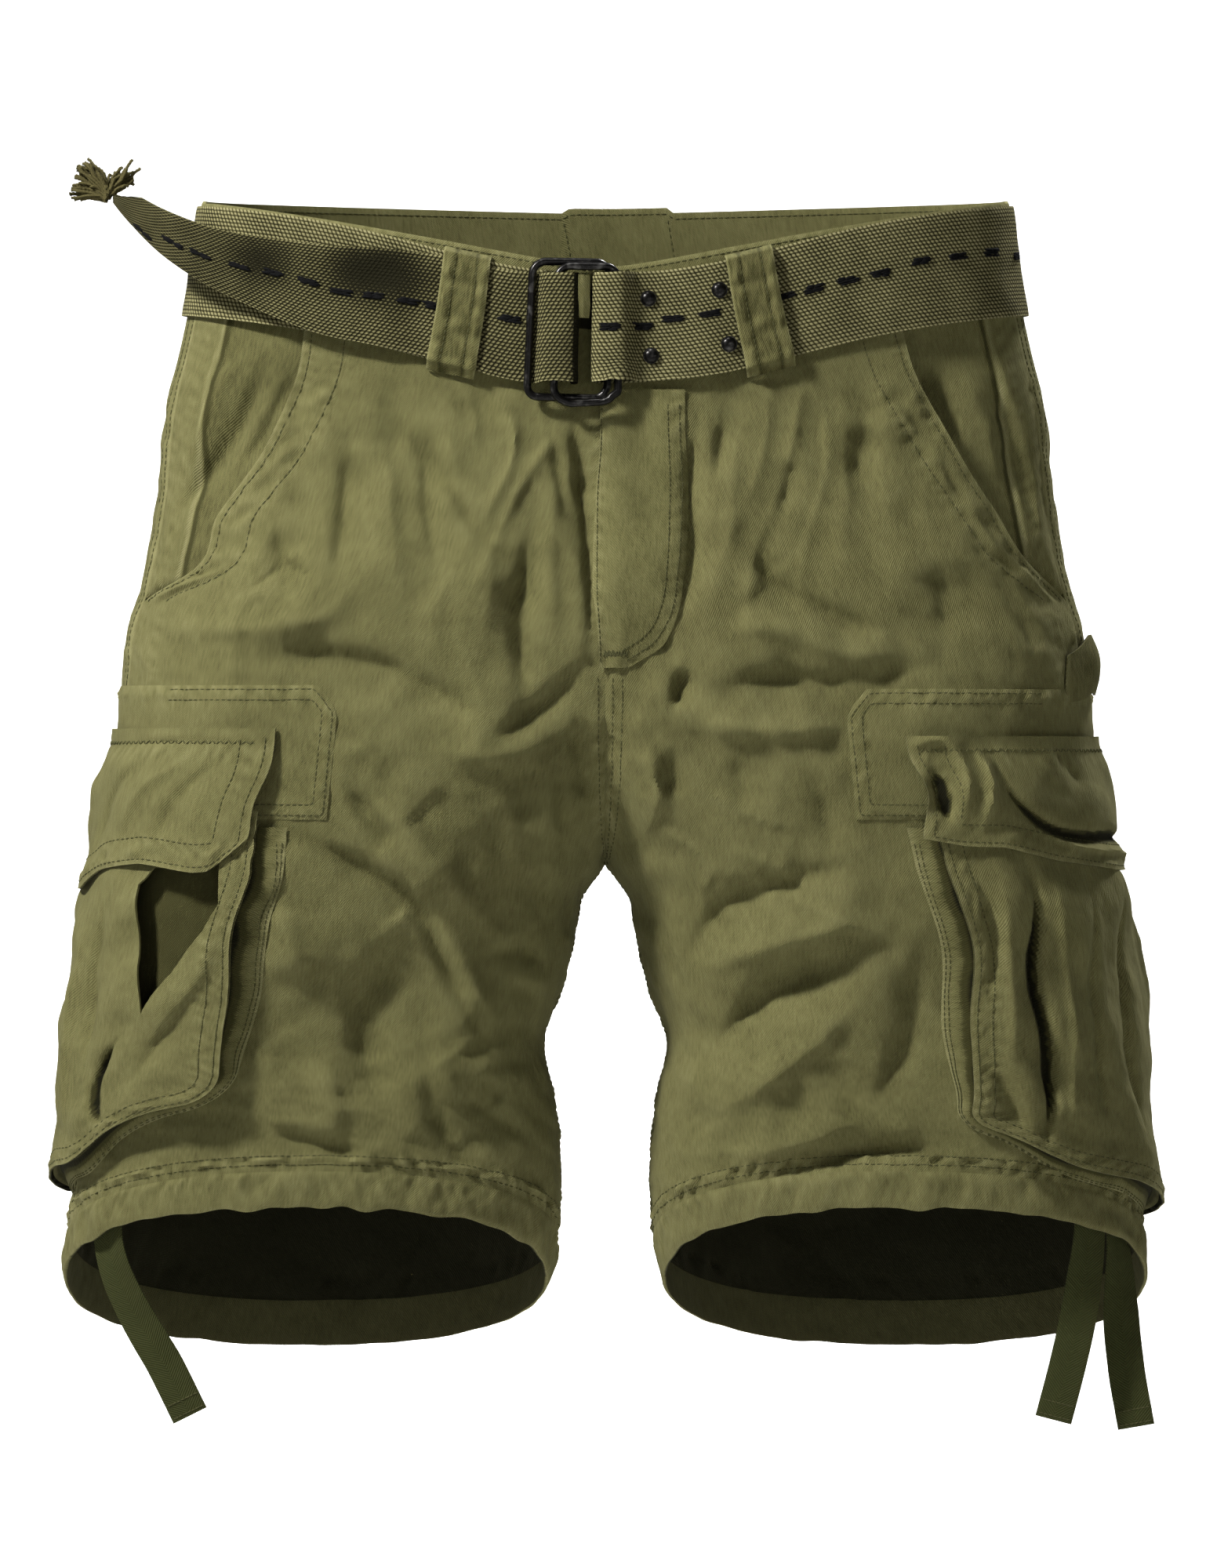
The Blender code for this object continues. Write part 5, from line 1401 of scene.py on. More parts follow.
def hem_ripples(side, arc, level):
    """Casing gathered on its tape: puckers all round, rounded lower edge, worn rim."""
    up, down = level - HEM_EDGE, HEM_SEAM - level
    ripple, paler_by = pucker([Sewn(down - 1, arc, 0.5, 6, 95 + side), Sewn(up - 9, arc, 0.2, 8, 97)])
    ripple = ripple + 1.1 * waves(arc, 0.5 * level, 24, 98 + side) * bell((down - 10) / 9)
    ripple = ripple + 0.5 * waves(arc, 0.3 * level, 9, 99 + side) * bell((down - 9) / 8)
    round_off = -1.1 * bell(up / 1.5) - 0.8 * bell(down / 1.3)
    return ripple * ease(down / 3) + round_off, 0.6 * paler_by + 0.45 * bell(up / 1.6)


MIDDLE_PIECE = {1: 33.0, -1: 20.0}     # half widths of the back waistband's middle piece


def joined(left, right):
    """Two halves of a grid, joined at the middle of the back."""
    return np.concatenate([left, right[:, ::-1][:, 1:]], axis=1)


def waistband():
    """Two front pieces, and the back one with its raised middle piece."""
    levels = np.linspace(WAIST_TOP, WAIST_SEAM + SEAM_GAP / 2, 26)
    for side in (-1, 1):
        made = band("waistband_front_" + side_name(side), side, -1, levels, 110, WAISTBAND_OUT,
                    WAISTBAND_WALL, waist_ripples)
    level = levels[:, None]
    first = turn_at(np.full_like(level, -SEAM_GAP / 2), level)
    half = arc_at(first + (math.pi / 2 - first) * shares(140), level)
    level = level + 0 * half
    extra, paler_by = waist_ripples(1, half, level)
    from_middle = half - half[:, -1:]
    raised = {side: 2.6 * ease((wide - from_middle) / 1.2) * ease((level + 30) / 14)
              for side, wide in MIDDLE_PIECE.items()}
    left, right = ([cloth(side, half, level + raised[side], out) for out in
                    (WAISTBAND_OUT + extra, WAISTBAND_OUT - WAISTBAND_WALL - 0.35 * extra)]
                   for side in (1, -1))
    outer, inner = (joined(*pair) for pair in zip(left, right))
    uv = np.stack([joined(half, 2 * half[:, -1:] - half), joined(level, level)], axis=-1)
    paler_by = joined(*(paler_by - 2.6 * bell((from_middle - wide) / 0.5)
                    + 0.8 * bell((from_middle - wide + 1.6) / 0.7)
                    for wide in MIDDLE_PIECE.values()))
    made = wall("waistband_back", outer, inner, uv, TWILL, paler_by, 0.2)


def hem_casings():
    levels = np.linspace(HEM_SEAM - SEAM_GAP / 2, HEM_EDGE, 16)
    for side in (-1, 1):
        # shade: how dark each casing's inner face is painted, as shade
        for face, label, shade, droop in ((-1, "front", 1.0, 0.8), (1, "back", 0.62, 0.3)):
            name = f"hem_casing_{label}_{side_name(side)}"
            made = band(name, side, face, levels, 210, HEM_OUT, HEM_WALL, hem_ripples, shade, droop)


# ---------------------------------------------------------------- cargo pockets
def pocket_depth(pocket, level):
    return pocket.depth * (0.55 + 0.45 * ease((pocket.top - level) / 60))


def pocket_rim(pocket, step):
    """Arc, level, outward direction and length along the pocket's sides and bottom."""
    r = pocket.corner
    side_top, low = pocket.top - 8, pocket.bottom + r
    quarter = [(math.cos(angle), math.sin(angle))
               for angle in np.linspace(0, math.pi / 2, max(int(1.57 * r / step), 3) + 1)]
    path = [(pocket.front, level, 1.0, 0.0) for level in np.arange(side_top, low, -step)]
    path += [(pocket.front - r + r * c, low - r * s, c, -s) for c, s in quarter]
    path += [(arc, pocket.bottom, 0.0, -1.0)
             for arc in np.arange(pocket.front - r - step, pocket.back + r, -step)]
    path += [(pocket.back + r - r * s, low - r * c, -s, -c) for c, s in quarter]
    path += [(pocket.back, level, -1.0, 0.0)
             for level in np.arange(low + step, side_top + 0.1, step)]
    return np.array(path)


def drawn(pocket, arc, level):
    """Arc and level of a place on the pocket once it hangs out of true."""
    levels, edges = table_columns(FACE_EDGE[pocket.side])
    arcs, sags = table_columns(FACE_SAG[pocket.side])
    forward = ease((arc - pocket.back) / (pocket.front - pocket.back))
    down = ease((pocket.top - level) / (pocket.top - pocket.bottom))
    return (arc + (curve(levels, edges, level) - pocket.front) * forward,
            level + curve(arcs, sags, arc) * down)


def painted_crevice_shade(creases, arc, level):
    """Painted shade, given as wear, at the bottom of the narrow deep folds, where no light reaches.
    """
    painted_shade = 0.0
    for crease in creases:
        if crease.height < -1.3 * crease.width:
            share = crease_height(crease, arc, level) / crease.height
            painted_shade = painted_shade + CREVICE_SHADE * ease((share - 0.42) / 0.5)
    return painted_shade


def flap_relief(pocket, arc, level):
    return sum(crease_height(crease, arc, level) for crease in FLAP_CREASES[pocket.side])


def cargo_gusset(pocket):
    """Bellows strip between the leg and the pocket's face, folded inward at half depth."""
    path = pocket_rim(pocket, 2.0)
    arc, level, forward, upward = path.T[:, :, None]
    run = np.cumsum(np.hypot(np.gradient(arc[:, 0]), np.gradient(level[:, 0])))[:, None]
    depth = pocket_depth(pocket, level)
    share = shares(13)
    flare = GUSSET_FLARE + 9.0 * np.maximum(forward, 0) * ease((level - pocket.bottom) / 80)
    shift = curve([0, 0.33, 0.62, 1.0], [0, -0.5, -1.0, -0.75], share) * (flare + GUSSET_FOLD)
    shift = shift + flare + 0 * share
    wobble = waves(run, 12 * share, 34, 101 + pocket.side) * np.sin(math.pi * share) * 1.4
    out = GUSSET_LIE + (depth - CLOTH - GUSSET_SHORT - GUSSET_LIE) * share
    arc, level = drawn(pocket, arc, level)
    grids = [cloth(pocket.side, arc + forward * (shift + wobble + thick),
                   level + upward * (shift + wobble + thick), out)
             for thick in (GUSSET_WALL / 2, -GUSSET_WALL / 2)]
    uv = np.stack(np.broadcast_arrays(run, share * GUSSET_WIDTH), axis=-1)
    # a pale line along the edge at the leg, and painted shade in the deep fold beside the face's
    # edge
    paler_by = (1.1 * bell(share / 0.10) + CREVICE_SHADE * bell((share - 0.60) / 0.17)
            + 0.2 * bell((1 - share) / 0.1) + 0.3 * waves(run, 0 * run, 20, 181))
    made = wall("cargo_gusset_" + pocket.name, *grids, uv, TWILL, paler_by)


def cargo_face(pocket):
    """Front of a cargo pocket, hung out of true; the right one's side entry is cut open."""
    level = np.linspace(pocket.top, pocket.bottom, 116)[:, None]
    short = np.maximum(pocket.bottom + pocket.corner - level, 0)
    pull = pocket.corner - np.sqrt(np.maximum(pocket.corner ** 2 - short ** 2, 0))
    arc = (pocket.front - pull) + (pocket.back - pocket.front + 2 * pull) * shares(166)
    level = level + 0 * arc
    out = pocket_depth(pocket, level)
    rim = np.minimum(np.minimum(arc[:, :1] - arc, arc - arc[:, -1:]), level - pocket.bottom)
    ripple, paler_by = pucker([Sewn(rim - 3, arc + level, 0.35, 4, 111),
                           Sewn(rim - 11, arc + level, 0.3, 4, 113)])
    paler_by = paler_by + 0.5 * bell(rim / 1.5)
    sag = 1.6 * waves(pocket.side * arc, level, 46, 115 + pocket.side) * ease(rim / 25)
    out = out + (ripple + sag) * ease(rim / 2) + 0.7 * fine_cloth(pocket.side, arc, level)
    out = out + bunched(rim, arc + level, *FACE_ROWS, 0.6, 161)
    uv = np.stack([pocket.side * arc, level], axis=-1)
    arc, level = drawn(pocket, arc, level)
    folds = sum(crease_height(crease, arc, level) for crease in POCKET_CREASES[pocket.side])
    out = out + folds * ease(rim / 14) + np.minimum(flap_relief(pocket, arc, level), 0)
    # painted shade at the bottom of the pocket's deep creases
    paler_by = paler_by + painted_crevice_shade(POCKET_CREASES[pocket.side], arc, level)
    out = np.maximum(out, CLOTH + 1.5)
    outer, inner = (cloth(pocket.side, arc, level, out - deep) for deep in (0.0, CLOTH))
    made = wall("cargo_face_" + pocket.name, outer, inner, uv, TWILL, paler_by)
    if pocket.side < 0:
        made = cut_slit(made, pocket)


def cut_slit(face, pocket):
    """Cuts the open side entry through the pocket's face."""
    arc, level = table_columns(FACE_SLIT)
    low, high = (cloth(pocket.side, arc, level, pocket.depth * deep) for deep in (0.05, 2.2))
    data = bpy.data.meshes.new("slit_cutter")
    count = len(FACE_SLIT)
    around = [(k, (k + 1) % count) for k in range(count)]
    data.from_pydata((np.concatenate([low, high]) * MM).tolist(), [],
                     [tuple(range(count)), tuple(range(2 * count - 1, count - 1, -1))]
                     + [(a, a + count, b + count, b) for a, b in around])
    face_outwards(data)
    cutter = placed("slit_cutter", data)
    cut = face.modifiers.new("slit", "BOOLEAN")
    cut.operation, cut.object, cut.solver = "DIFFERENCE", cutter, "EXACT"
    data = plain_mesh(face)
    bpy.data.objects.remove(cutter)
    return dressed("cargo_face_" + pocket.name, data, TWILL)


def cargo_flap(pocket):
    """Flap over the pocket's top, with its corners and the fold pressed across it."""
    share = np.linspace(0, 1, 52)[:, None]
    arc = np.linspace(pocket.flap_front, pocket.flap_back, 122)[None, :]
    from_edge = np.minimum(pocket.flap_front - arc, arc - pocket.flap_back)
    arcs, lows = table_columns(FLAP_LOW[pocket.side])
    levels, edges = table_columns(FLAP_EDGE[pocket.side])
    bottom = 0.35 * curve(arcs, lows, arc) + 0.65 * np.interp(arc, arcs, lows)
    level = pocket.flap_top + (bottom - pocket.flap_top) * share
    arc = arc + (curve(levels, edges, level) - pocket.flap_front) * ease(
        1 - (pocket.flap_front - arc) / 60)
    over = pocket_depth(pocket, level) + 1.0
    lowest = LIE + CLOTH + 0.7
    drop = (pocket.flap_top - level) / (pocket.flap_top - pocket.top)
    inner = lowest + (over - lowest) * ease(drop)
    rim = np.minimum(from_edge + 0 * level, level - bottom)
    ripple, paler_by = pucker([Sewn(rim - 3, arc + level, 0.3, 4, 121),
                           Sewn(rim - 12, arc + level, 0.25, 4, 123),
                           Sewn(pocket.flap_top - level - 13, arc, 0.3, 4, 125)])
    paler_by = paler_by + 0.5 * bell(rim / 1.5)
    body = np.maximum(0.9 * waves(arc, level, 40, 127 + pocket.side) + 0.5 * ripple
                      + bunched(rim, arc + level, 3, 11, 0.8, 163)
                      + 0.4 * fine_cloth(pocket.side, arc, level), -0.4) * ease(rim / 3)
    out = inner + FLAP_WALL + body + flap_relief(pocket, arc, level) * ease(rim / 4 + 0.3)
    # painted shade at the bottom of the flap's deep creases
    paler_by = paler_by + painted_crevice_shade(FLAP_CREASES[pocket.side], arc, level)
    made = cloth_wall("cargo_flap_" + pocket.name, pocket.side, arc, level,
                      np.maximum(out, lowest + 1.6), FLAP_WALL, TWILL, paler_by)


def cargo_patch(pocket):
    """Piece sewn flat on the leg above the pocket, with one rounded corner."""
    back, front, top, bottom = PATCH[pocket.side]
    level = np.linspace(top, bottom, 36)[:, None]
    round_off = 12 * (1 - np.sin(np.pi * np.clip((top - level) / 36, 0, 0.5)))
    arc = front - round_off + (back - front + round_off) * shares(96)
    level = level + 0 * arc
    rim = np.minimum(np.minimum(arc[:, :1] - arc, top - level), level - bottom)
    ripple, paler_by = pucker([Sewn(rim - 2, arc + level, 0.5, 3.5, 131),
                           Sewn(rim - 8, arc + level, 0.5, 3.5, 133)])
    high = 1.1 - 0.5 * bell(rim / 1.2) + np.maximum(ripple, -0.3) * ease(rim / 2)
    high = high + 1.1 * np.maximum(bunched(rim, arc + level, *PATCH_ROWS, 0.9, 165), 0)
    high = high + 0.5 * (fine_cloth(pocket.side, arc, level) + 0.8) * ease(rim / 12)
    made = cloth_wall("cargo_patch_" + pocket.name, pocket.side, arc, level, high,
                      PATCH_WALL, TWILL, paler_by + 0.3 * bell(rim / 1.2), 0.1 + 0 * high)


def side_tab():
    """Small folded tab that stands off the side seam above the left cargo pocket."""
    across, down, knots = np.linspace(0, 1, 22), np.linspace(0, 1, 18), np.linspace(0, 1, 4)
    arc, out = (np.array([[curve(knots, [curve(knots, row, a) for row in table], d)
                           for a in across] for d in down]) for table in (TAB_ARCS, TAB_OUTS))
    level = (curve(knots, TAB_LEVELS, down)[:, None]
             + curve(knots, TAB_SLANT, across)[None, :] * (1 - 0.5 * down[:, None]))
    # pale lines along its edges; the whole tab painted 0.5 darker, as shade
    paler_by = (0.9 * bell(across / 0.06) + 0.6 * bell((1 - across) / 0.05))[None, :] - 0.5 + 0 * arc
    cloth_wall("side_tab_left", 1, arc, level, LIE + 1.0 + out, CLOTH, TWILL, paler_by)


# ---------------------------------------------------------------- belt
def half_waist(level):
    """Distance round the waist from the middle of the front to the middle of the back."""
    turn = np.full(np.shape(level), math.pi / 2)
    return arc_at(-turn, level) - arc_at(turn, level)


WAIST_HALF = float(half_waist(np.array(-30.0)))


def belt_middle(along):
    return curve(*table_columns(BELT_LINE), np.abs(along))


def at_waist(along, height, out):
    """A point by its distance round the waist from the middle of the front, height and out."""
    along, height, out = np.broadcast_arrays(
        *(np.asarray(value, float) for value in (along, height, out)))
    side = np.where(along < 0, -1, 1)
    level = np.array(height)
    for _ in range(30):
        share = np.minimum(np.abs(along) / WAIST_HALF, 1)
        front_arc = arc_at(np.full_like(level, -math.pi / 2), level)
        arc = front_arc - share * half_waist(level)
        x, y = ring_point(turn_at(arc, level), level)
        level = level + 0.7 * (height - lift(x, y, level) - level)
    return cloth(side, arc, level, out)


def round_waist(along):
    """Distance from the middle of the front, past the middle of the back as a negative."""
    return np.where(along > WAIST_HALF, along - 2 * WAIST_HALF, along)


def webbing(name, path, middle, width, form=None):
    """Webbing on a path of (along, out), standing on edge; middle and width are per point."""
    ahead = unit(np.gradient(path, axis=0)) * BELT_THICK / 2
    run = run_along(*path.T)[:, None]
    share = np.linspace(0.5, -0.5, 23)[None, :]
    height = middle[:, None] + width[:, None] * share
    edge = np.sqrt(1 - 0.8 * (2 * share) ** 12)
    ripple = 0.22 * waves(run, 56 * share, 30, 141) * (1 - (2 * share) ** 4)
    swell, shade = form(path[:, :1], share) if form else (0.0, 0.0)
    ripple = ripple + swell
    grids = [at_waist(round_waist(path[:, :1] - sign * ahead[:, 1:] * edge), height,
                      path[:, 1:] + sign * ahead[:, :1] * edge + ripple)
             for sign in (1, -1)]
    uv = np.stack(np.broadcast_arrays(run, share * BELT_WIDTH), axis=-1)
    wall(name, *grids, uv, WEBBING, 0.5 * bell((0.5 - np.abs(share)) / 0.02) + 0 * run + shade)


def belt_strap():
    """Riveted end, then once round the waist to the buckle's far side."""
    end = spline(STRAP_END, 1.2)
    full = 2 * WAIST_HALF
    round_body = np.arange(STRAP_END[-1][0] + 3, full + STRAP_STOP - 1, 3.0)
    rest = np.append(round_body, full + STRAP_STOP)
    path = np.concatenate([end, np.stack([rest, np.full_like(rest, UNDER_LAYER)], axis=-1)])
    webbing("belt_strap", path, belt_middle(round_waist(path[:, 0])),
            np.full(len(path), BELT_WIDTH))


def tail_form(along, share):
    """How far the tail bellies out from the strap under it, and the painted shade over it: all
    along, in its hollows, towards its tip and black on its turned edge.
    """
    loose = ease((-92 - along) / 22) * ease((188 + along) / 40)
    hollow = bell((along + 116) / 24) * bell((share - 0.24) / 0.28)
    behind = bell((along + 173) / 14) * bell((share - 0.16) / 0.3)
    crest = bell((along + 152) / 12) * bell((share - 0.1) / 0.5)
    turned = ease((along + 16.6) / 1.4)
    # all of this is painted shade, given as wear
    wear = -0.4 - 1.8 * hollow - 1.1 * behind - 0.3 * ease((-150 - along) / 30) - 4.0 * turned
    return loose * (3.4 - 3.2 * hollow) + 1.6 * crest, wear


def belt_tail():
    rows = spline(TAIL, 1.6)
    webbing("belt_tail", rows[:, :2], rows[:, 2], rows[:, 3], tail_form)


def belt_loops():
    """Five loops, each over as many layers of belt as pass through it."""
    height = np.array([30.5, 29.2, 28.0, 18, 6, -6, -18, -28.6, -30.2, -33.0])
    at = np.linspace(0, 1, 60)[:, None]
    share = np.linspace(-0.5, 0.5, 19)[None, :]
    edge = 0.5 - np.abs(share)
    low = WAISTBAND_OUT + 0.4
    for loop in LOOPS:
        layer = (UPPER_LAYER if loop.layers == 2 else UNDER_LAYER) + BELT_THICK / 2 + 0.6
        out = np.array([low, (low + layer) / 2, layer, layer + 0.4, layer + 0.5, layer + 0.5,
                        layer + 0.4, layer, (low + layer) / 2, low])
        run = run_along(height, out)
        length = run[-1]
        fine_height, fine_out = (np.interp(at, run / length, values) for values in (height, out))
        along = loop.share * WAIST_HALF + loop.lean * (height[0] - fine_height) / 60
        along = round_waist(along + share * LOOP_WIDTH)
        upright = belt_middle(along) + fine_height
        thick = LOOP_THICK + 0.9 * bell((edge - 0.14) / 0.1) - 0.5 * bell(edge / 0.03)
        lumps = waves(length * at, 30 * share, 8, 155) * bell((edge - 0.15) / 0.1)
        thick = thick + 0.6 * lumps
        thick = thick + 0.4 * waves(at * 60, share * 20, 9, 151) * ease(edge / 0.1)
        grids = [at_waist(along, upright, fine_out + wide) for wide in (thick, 0.0)]
        uv = np.stack(np.broadcast_arrays(share * LOOP_WIDTH, at * length), axis=-1)
        paler_by = (1.3 * bell(edge / 0.03) + 0.3 * bell((edge - 0.15) / 0.05) - 0.4
                - 0.8 * bell((edge - 0.27) / 0.03) + 0.25 * waves(at * 60, share * 20, 8, 157))
        wall(loop.name, *grids, uv, TWILL, paler_by)
        for across in (-0.23, 0.23):
            sew("loop_stitching", loop.name, across * LOOP_WIDTH, np.linspace(3, length - 3, 40))


def keeper_tab():
    """Small tab over the rings' upper corner, its twill painted paler, as lit."""
    height = np.linspace(KEEPER_TOP, KEEPER_BOTTOM, 16)[:, None]
    across = (np.linspace(KEEPER_ALONG[0], KEEPER_ALONG[-1], 8)[None, :]
              * ease(1.2 - (KEEPER_TOP - height) / 50) - 3.0 * ease((13 - height) / 16))
    out = np.interp(across, KEEPER_ALONG, KEEPER_OUT) - 1.5 * ease((14 - height) / 14)
    grids = [at_waist(across, belt_middle(0.0) + height, out + wide) for wide in (KEEPER_WALL, 0.0)]
    uv = np.stack(np.broadcast_arrays(across, height), axis=-1)
    wall("belt_keeper_tab", *grids, uv, TWILL_PAINTED_LIT, 0.2)


def buckle_ring(ring):
    """Rounded rectangle of wire, as a beveled curve."""
    corners = [(ring.right, ring.top, 0), (ring.left, ring.top, 90),
               (ring.left, ring.bottom, 180), (ring.right, ring.bottom, 270)]
    points = []
    for along, height, first in corners:
        for angle in np.radians(first + np.linspace(0, 90, 13)):
            inset_x = along - math.copysign(RING_CORNER, along - (ring.left + ring.right) / 2)
            inset_z = height - math.copysign(RING_CORNER, height)
            points.append((inset_x + RING_CORNER * math.cos(angle),
                           inset_z + RING_CORNER * math.sin(angle)))
    along, height = np.array(points).T
    share = (along - ring.left) / (ring.right - ring.left)
    out = ring.left_out + (ring.right_out - ring.left_out) * share
    world = at_waist(along, belt_middle(0.0) + height, out) * MM
    data = bpy.data.curves.new(ring.name, "CURVE")
    data.dimensions = "3D"
    data.bevel_depth = WIRE * MM
    data.bevel_resolution = 6
    line = data.splines.new("POLY")
    line.points.add(len(world) - 1)
    for point, place in zip(line.points, world):
        point.co = (*place, 1)
    line.use_cyclic_u = True
    data = plain_mesh(placed(ring.name + "_wire", data))
    data.shade_smooth()
    dressed(ring.name, data, METAL)


RUNNING_STITCH = {       # middles of the black dashes, seen from the front: x, z
    "belt_tail_inside": [(-235.3, -4.8), (-220.3, -11.5), (-204.1, -17.2), (-185.8, -22.6),
                         (-168.5, -27.3), (-151, -31.6), (-133.8, -37), (-117, -38.1),
                         (-99.8, -41.2), (-87.2, -42.8), (-48.1, -51.3)],
    "belt_strap": [(-22.9, -57.5), (1.3, -55.6), (18.1, -53.2), (34.4, -50.6), (53, -46.6),
                   (90.9, -38.2), (106.4, -35.1), (123, -29.8), (141.3, -26.1), (159.4, -22),
                   (178.3, -18.6), (196.4, -15.5), (210.4, -16.8)],
}


def running_stitch():
    """Ragged dashes of black yarn along the middle of the belt, several strands to each."""
    draw = np.random.default_rng(23)
    for node, dashes in RUNNING_STITCH.items():
        surface = SURFACES[node]
        in_front = np.where(surface.normals[..., 1] < -0.2, 0.0, 1e6)
        for x, z in dashes:
            gap = np.hypot(surface.points[..., 0] - x, surface.points[..., 2] - z) + in_front
            gap = gap + 0.3 * (surface.points[..., 1] + 100)
            u, v = surface.place[np.unravel_index(np.argmin(gap), gap.shape)]
            for across in (-1.3, -0.6, 0.0, 0.6, 1.3):
                start = u - 4.6 + draw.uniform(-1.4, 1.4)
                sew("belt_running_stitch", node, [start, start + 9.4],
                    v + across + draw.uniform(-0.5, 0.5, 2), 4.6, 0.25)


def belt_rivets():
    """Four domed heads in one piece."""
    along, above = np.array(RIVETS).T
    height = belt_middle(along) + above
    out = UPPER_LAYER + BELT_THICK / 2 + 0.1
    base = at_waist(along, height, out)
    facing = at_waist(along, height, out + 1) - base
    ahead = at_waist(along + 1, height, out) - base
    data = rivet_growth(METAL[0]).grow(
        pointed_mesh(np.stack([base, facing, ahead], axis=1)), Radius=4.1 * MM, Height=2.5 * MM)
    data.shade_smooth()
    data.set_sharp_from_angle(angle=SHARP_METAL)
    made = added("belt_rivets", data, METAL)
    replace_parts(made, *(f"rivet_{number}" for number in range(1, len(RIVETS) + 1)))


Fray = namedtuple("Fray", "root_x root_z end_x end_z spread count bow stout")
FRAYS = [               # yarns fanned out of the tail's tip, and a few loose threads
    Fray(-253.5, 13.5, -264.5, 24, 7.0, 46, 8.0, 2.2),
    Fray(-254.0, 12.5, -268.5, 15.5, 5.0, 22, 4.0, 2.1),
    Fray(-251.5, 15.5, -245.5, 22.5, 5.5, 30, 5.0, 2.0),
    Fray(-252.5, 14, -262, 24, 11.0, 9, 8.0, 0.16),
    Fray(-251.5, 15, -243, 24, 8.0, 6, 6.0, 0.16),
]


FRAY_ROOT_Y, FRAY_END_Y = -12.8, -10.0
FRAY_REACH = (-277, -236)       # in x


def frayed_tip():
    """Tuft of untwisting yarns at the belt's tip."""
    draw = np.random.default_rng(61)
    rows, edges, stout = [], [], []
    share = np.linspace(0, 1, 15)
    for fray in FRAYS:
        for number in range(fray.count):
            angle = 2 * math.pi * (number + draw.uniform(0, 0.6)) / fray.count
            reach = fray.spread * draw.uniform(0.1, 1.0) ** 0.5
            root = np.array([fray.root_x + draw.uniform(-1.5, 1.5),
                             FRAY_ROOT_Y + draw.uniform(-2.5, 2.5),
                             fray.root_z + draw.uniform(-1.8, 1.8)])
            end = np.array([fray.end_x + reach * math.cos(angle),
                            FRAY_END_Y + reach * draw.uniform(-0.7, 0.7),
                            fray.end_z + reach * math.sin(angle)])
            bow = np.array([draw.uniform(-0.5, 0.5), draw.uniform(-0.5, 0.5),
                            draw.uniform(0.1, 0.9)])
            bend = (root + end) / 2 + bow * fray.bow
            f = share[:, None]
            path = (1 - f) ** 2 * root + 2 * f * (1 - f) * bend + f * f * end
            path = path + 0.6 * f * np.stack([waves(14 * share, 7.0 * number, 9, seed + number)
                                              for seed in (71, 171, 271)], axis=-1)
            path[:, 0] = np.clip(path[:, 0], *FRAY_REACH)
            first = len(rows)
            rows += list(path[:, None])
            edges += [(first + k, first + k + 1) for k in range(len(share) - 1)]
            stout += list(fray.stout * (1 - 0.35 * share ** 3) * (0.85 + 0.15 * ease(share / 0.2)))
    data = yarn_growth(YARN[0]).grow(pointed_mesh(rows, edges, stout=stout), Turns=190.0)
    data.shade_smooth()
    dressed("belt_tuft", data, YARN)


def sew_panels():
    """Topstitching of the panels, fly, hems and waistband."""
    upper = np.linspace(WAIST_SEAM - 16, MOUTH_END, 80)
    seam = np.linspace(WAIST_SEAM - 14, HEM_SEAM + 4, 160)
    below = np.linspace(-232, HEM_SEAM + 6, 90)
    for side in (-1, 1):
        front, back = "front_panel_" + side_name(side), "back_panel_" + side_name(side)
        mouth = mouth_arc(side, upper)
        for inset in MOUTH_ROWS:
            sew("panel_stitching", front, side * (mouth + inset), upper)
        for inset in SIDE_ROWS:
            sew("panel_stitching", back, side * -inset, seam)
        middle = arc_at(end_turn(below, -1), below)
        sew("panel_stitching", front, side * (middle - 4), below)
        if side > 0:
            crotch = below > -330
            sew("panel_stitching", front, side * (middle - 9)[crotch], below[crotch])
        seat = np.linspace(WAIST_SEAM - 14, HEM_SEAM + 6, 140)
        behind = arc_at(end_turn(seat, 1), seat)
        sew("panel_stitching", back, side * (behind + 5), seat)
        hem = np.array(HEM_SEAM + 5.0)
        for name, stop in ((front, -1), (back, 1)):
            last = float(arc_at(end_turn(hem, stop), hem))
            for above in HEM_ROWS:
                sew("hem_stitching", name, side * np.linspace(0, last, 120), HEM_SEAM + above)
        last = float(half_waist(np.array(WAIST_TOP - 3.0))) + 60
        sew("waist_stitching", "waistband_front_" + side_name(side),
            side * np.linspace(0, last, 100), WAIST_TOP - 2.6)
    heading = unit(np.gradient(np.array(FLY_STITCH), axis=0))
    for inset in FLY_ROWS:
        row = FLY_STITCH + inset * np.stack([heading[:, 1], -heading[:, 0]], axis=-1)
        sew("fly_stitching", "fly_placket", *spline(row, 2.0).T, FLY_PITCH)
    edge = np.linspace(-90, -224, 80)
    sew("fly_stitching", "fly_placket", -1.2 - 1.6 * ease((-90 - edge) / 60), edge, FLY_PITCH)
    teeth = np.arange(0, 12.5, 0.55)
    sew("fly_stitching", "fly_placket", -1 + teeth, -221 + 2.2 * (np.arange(len(teeth)) % 2), 1.3)
    inside = SURFACES["waistband_back_inside"].place
    middle = float((inside[0, 0, 0] + inside[0, -1, 0]) / 2)
    across = np.linspace(inside[0, 0, 0], inside[0, -1, 0], 200)
    for face in ("waistband_back_inside", "waistband_back"):
        sew("waist_stitching", face, across, WAIST_TOP - 3.0)
    for place in (middle - 22.5, middle + 31.5):
        sew("waist_stitching", "waistband_back_inside", place, np.linspace(WAIST_TOP - 5, -26, 20))


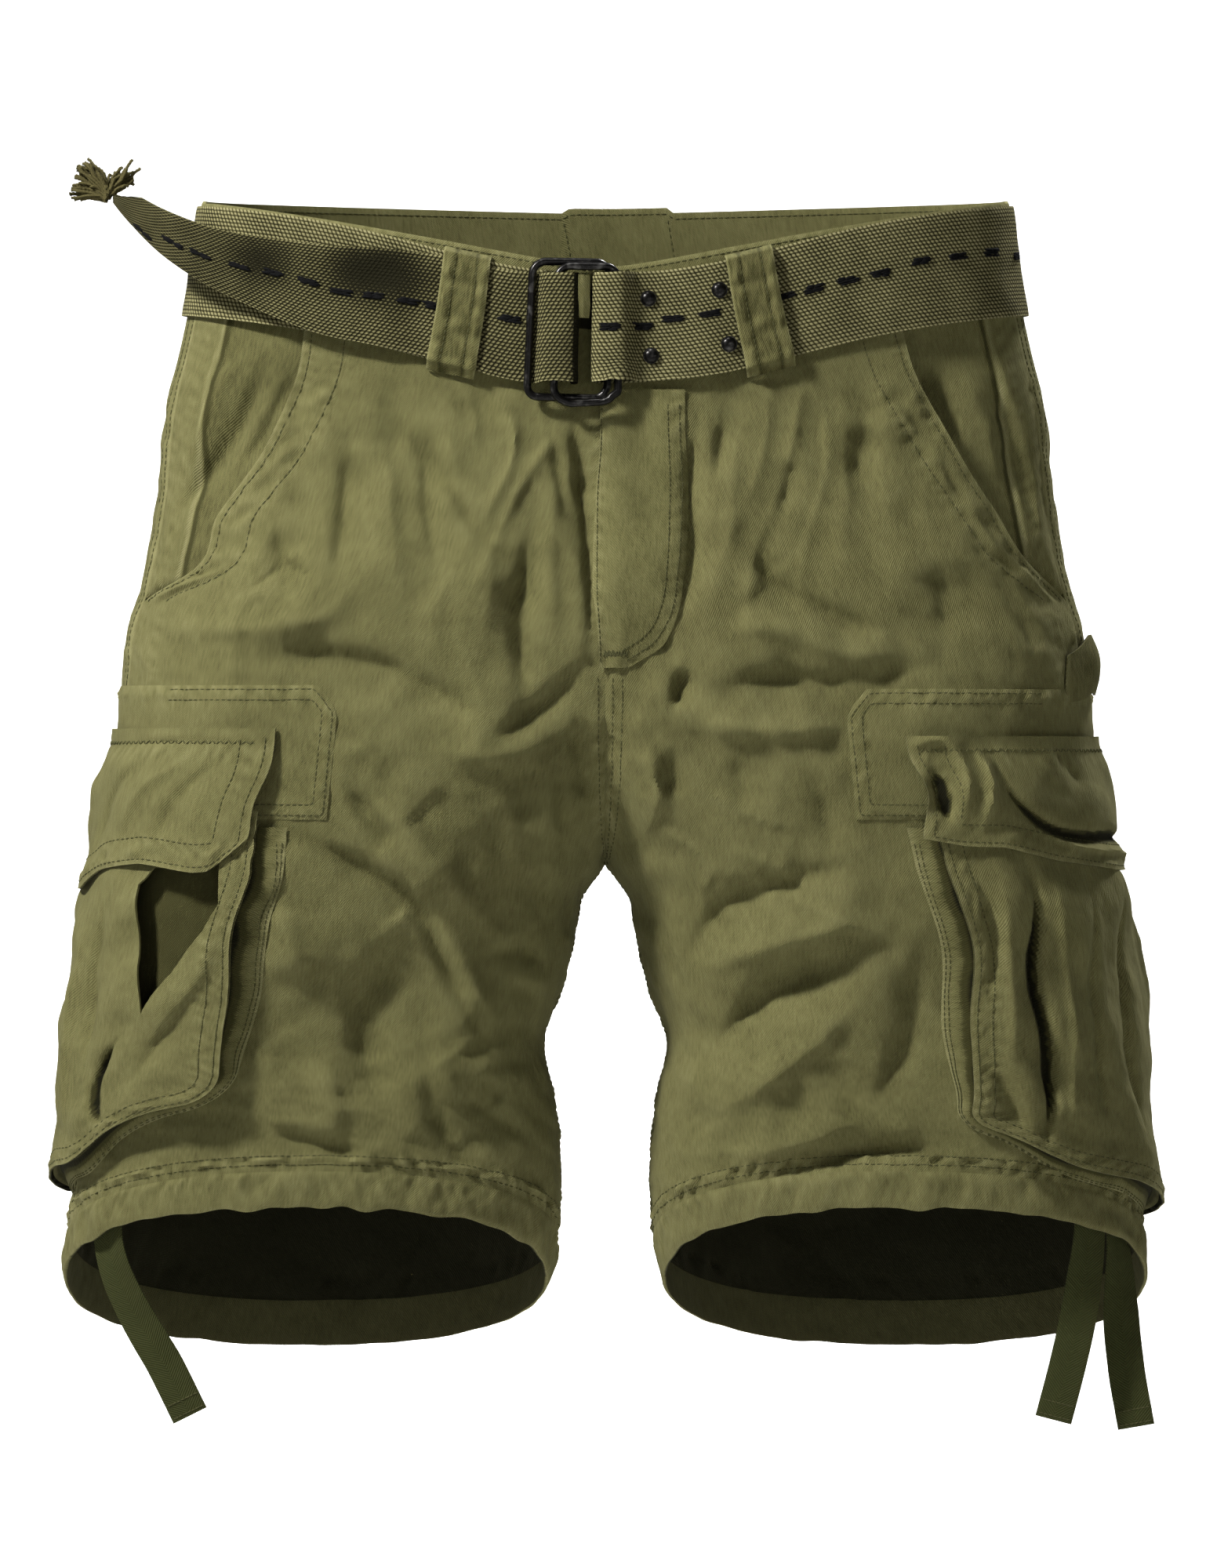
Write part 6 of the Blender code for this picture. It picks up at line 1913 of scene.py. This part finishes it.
def sew_pockets():
    """Topstitching of the cargo pockets, their flaps and patches."""
    for pocket in POCKETS:
        side = pocket.side

        def row(piece, *route):
            sew("pocket_stitching", f"cargo_{piece}_{pocket.name}", *route)

        _, front, top, bottom = PATCH[side]
        for inset in PATCH_ROWS:
            row("patch", side * np.array([40, front - 13, front - inset, front - inset, 60]),
                [top - inset, top - inset, top - 14, bottom + inset, bottom + inset])
        r = pocket.corner
        for inset in FACE_ROWS:
            turn = np.linspace(0, math.pi / 2, 8)
            near = max(r - inset, 1.0)
            arcs = np.concatenate([[pocket.front - inset] * 20,
                                   pocket.front - r + near * np.cos(turn),
                                   np.linspace(pocket.front - r, pocket.back + r, 40)])
            levels = np.concatenate([np.linspace(pocket.top - 6, pocket.bottom + r, 20),
                                     pocket.bottom + r - near * np.sin(turn),
                                     [pocket.bottom + inset] * 40])
            row("face", side * arcs, levels)
            row("face", side * (pocket.back + inset),
                np.linspace(pocket.bottom + r, pocket.top - 10, 30))
        run = SURFACES["cargo_gusset_" + pocket.name].place[4:-4:4, 0, 0]
        for share in (0.06, 0.14):
            row("gusset", run, GUSSET_WIDTH * share)
        arcs = np.arange(pocket.flap_back + 6, pocket.flap_front - 5, 2.2)
        teeth = pocket.flap_top - 6.0 - 2.6 * (np.arange(len(arcs)) % 2)
        row("flap", side * arcs, teeth, 3.4)
        flap = SURFACES["cargo_flap_" + pocket.name].place
        for edge in (3, 11):
            row("flap", *flap[-edge, edge:-edge].T)
            row("flap", *flap[4:-edge, edge].T)


def sew_tapes():
    for name in TAPES:
        for face in (name, name + "_inside"):
            last = SURFACES[face].place[-1, 0, 1]
            for inset in (9.0, 2.0):
                sew("tape_stitching", face, np.linspace(-8, 8, 12), last - inset, 2.4)


# ---------------------------------------------------------------- everything
def build():
    camera()
    for name, knots in TAPES.items():
        tape(name, knots)
    for side in (-1, 1):
        front_panel(side)
        back_panel(side)
        hip_pocket_panel(side)
    fly_placket()
    waistband()
    hem_casings()
    for pocket in POCKETS:
        cargo_patch(pocket)
        cargo_gusset(pocket)
        cargo_face(pocket)
        cargo_flap(pocket)
    side_tab()
    belt_strap()
    belt_tail()
    belt_loops()
    keeper_tab()
    for ring in RINGS:
        buckle_ring(ring)
    belt_rivets()
    frayed_tip()
    running_stitch()
    sew_panels()
    sew_pockets()
    sew_tapes()
    stitching()
    lights()
    stage()


build()
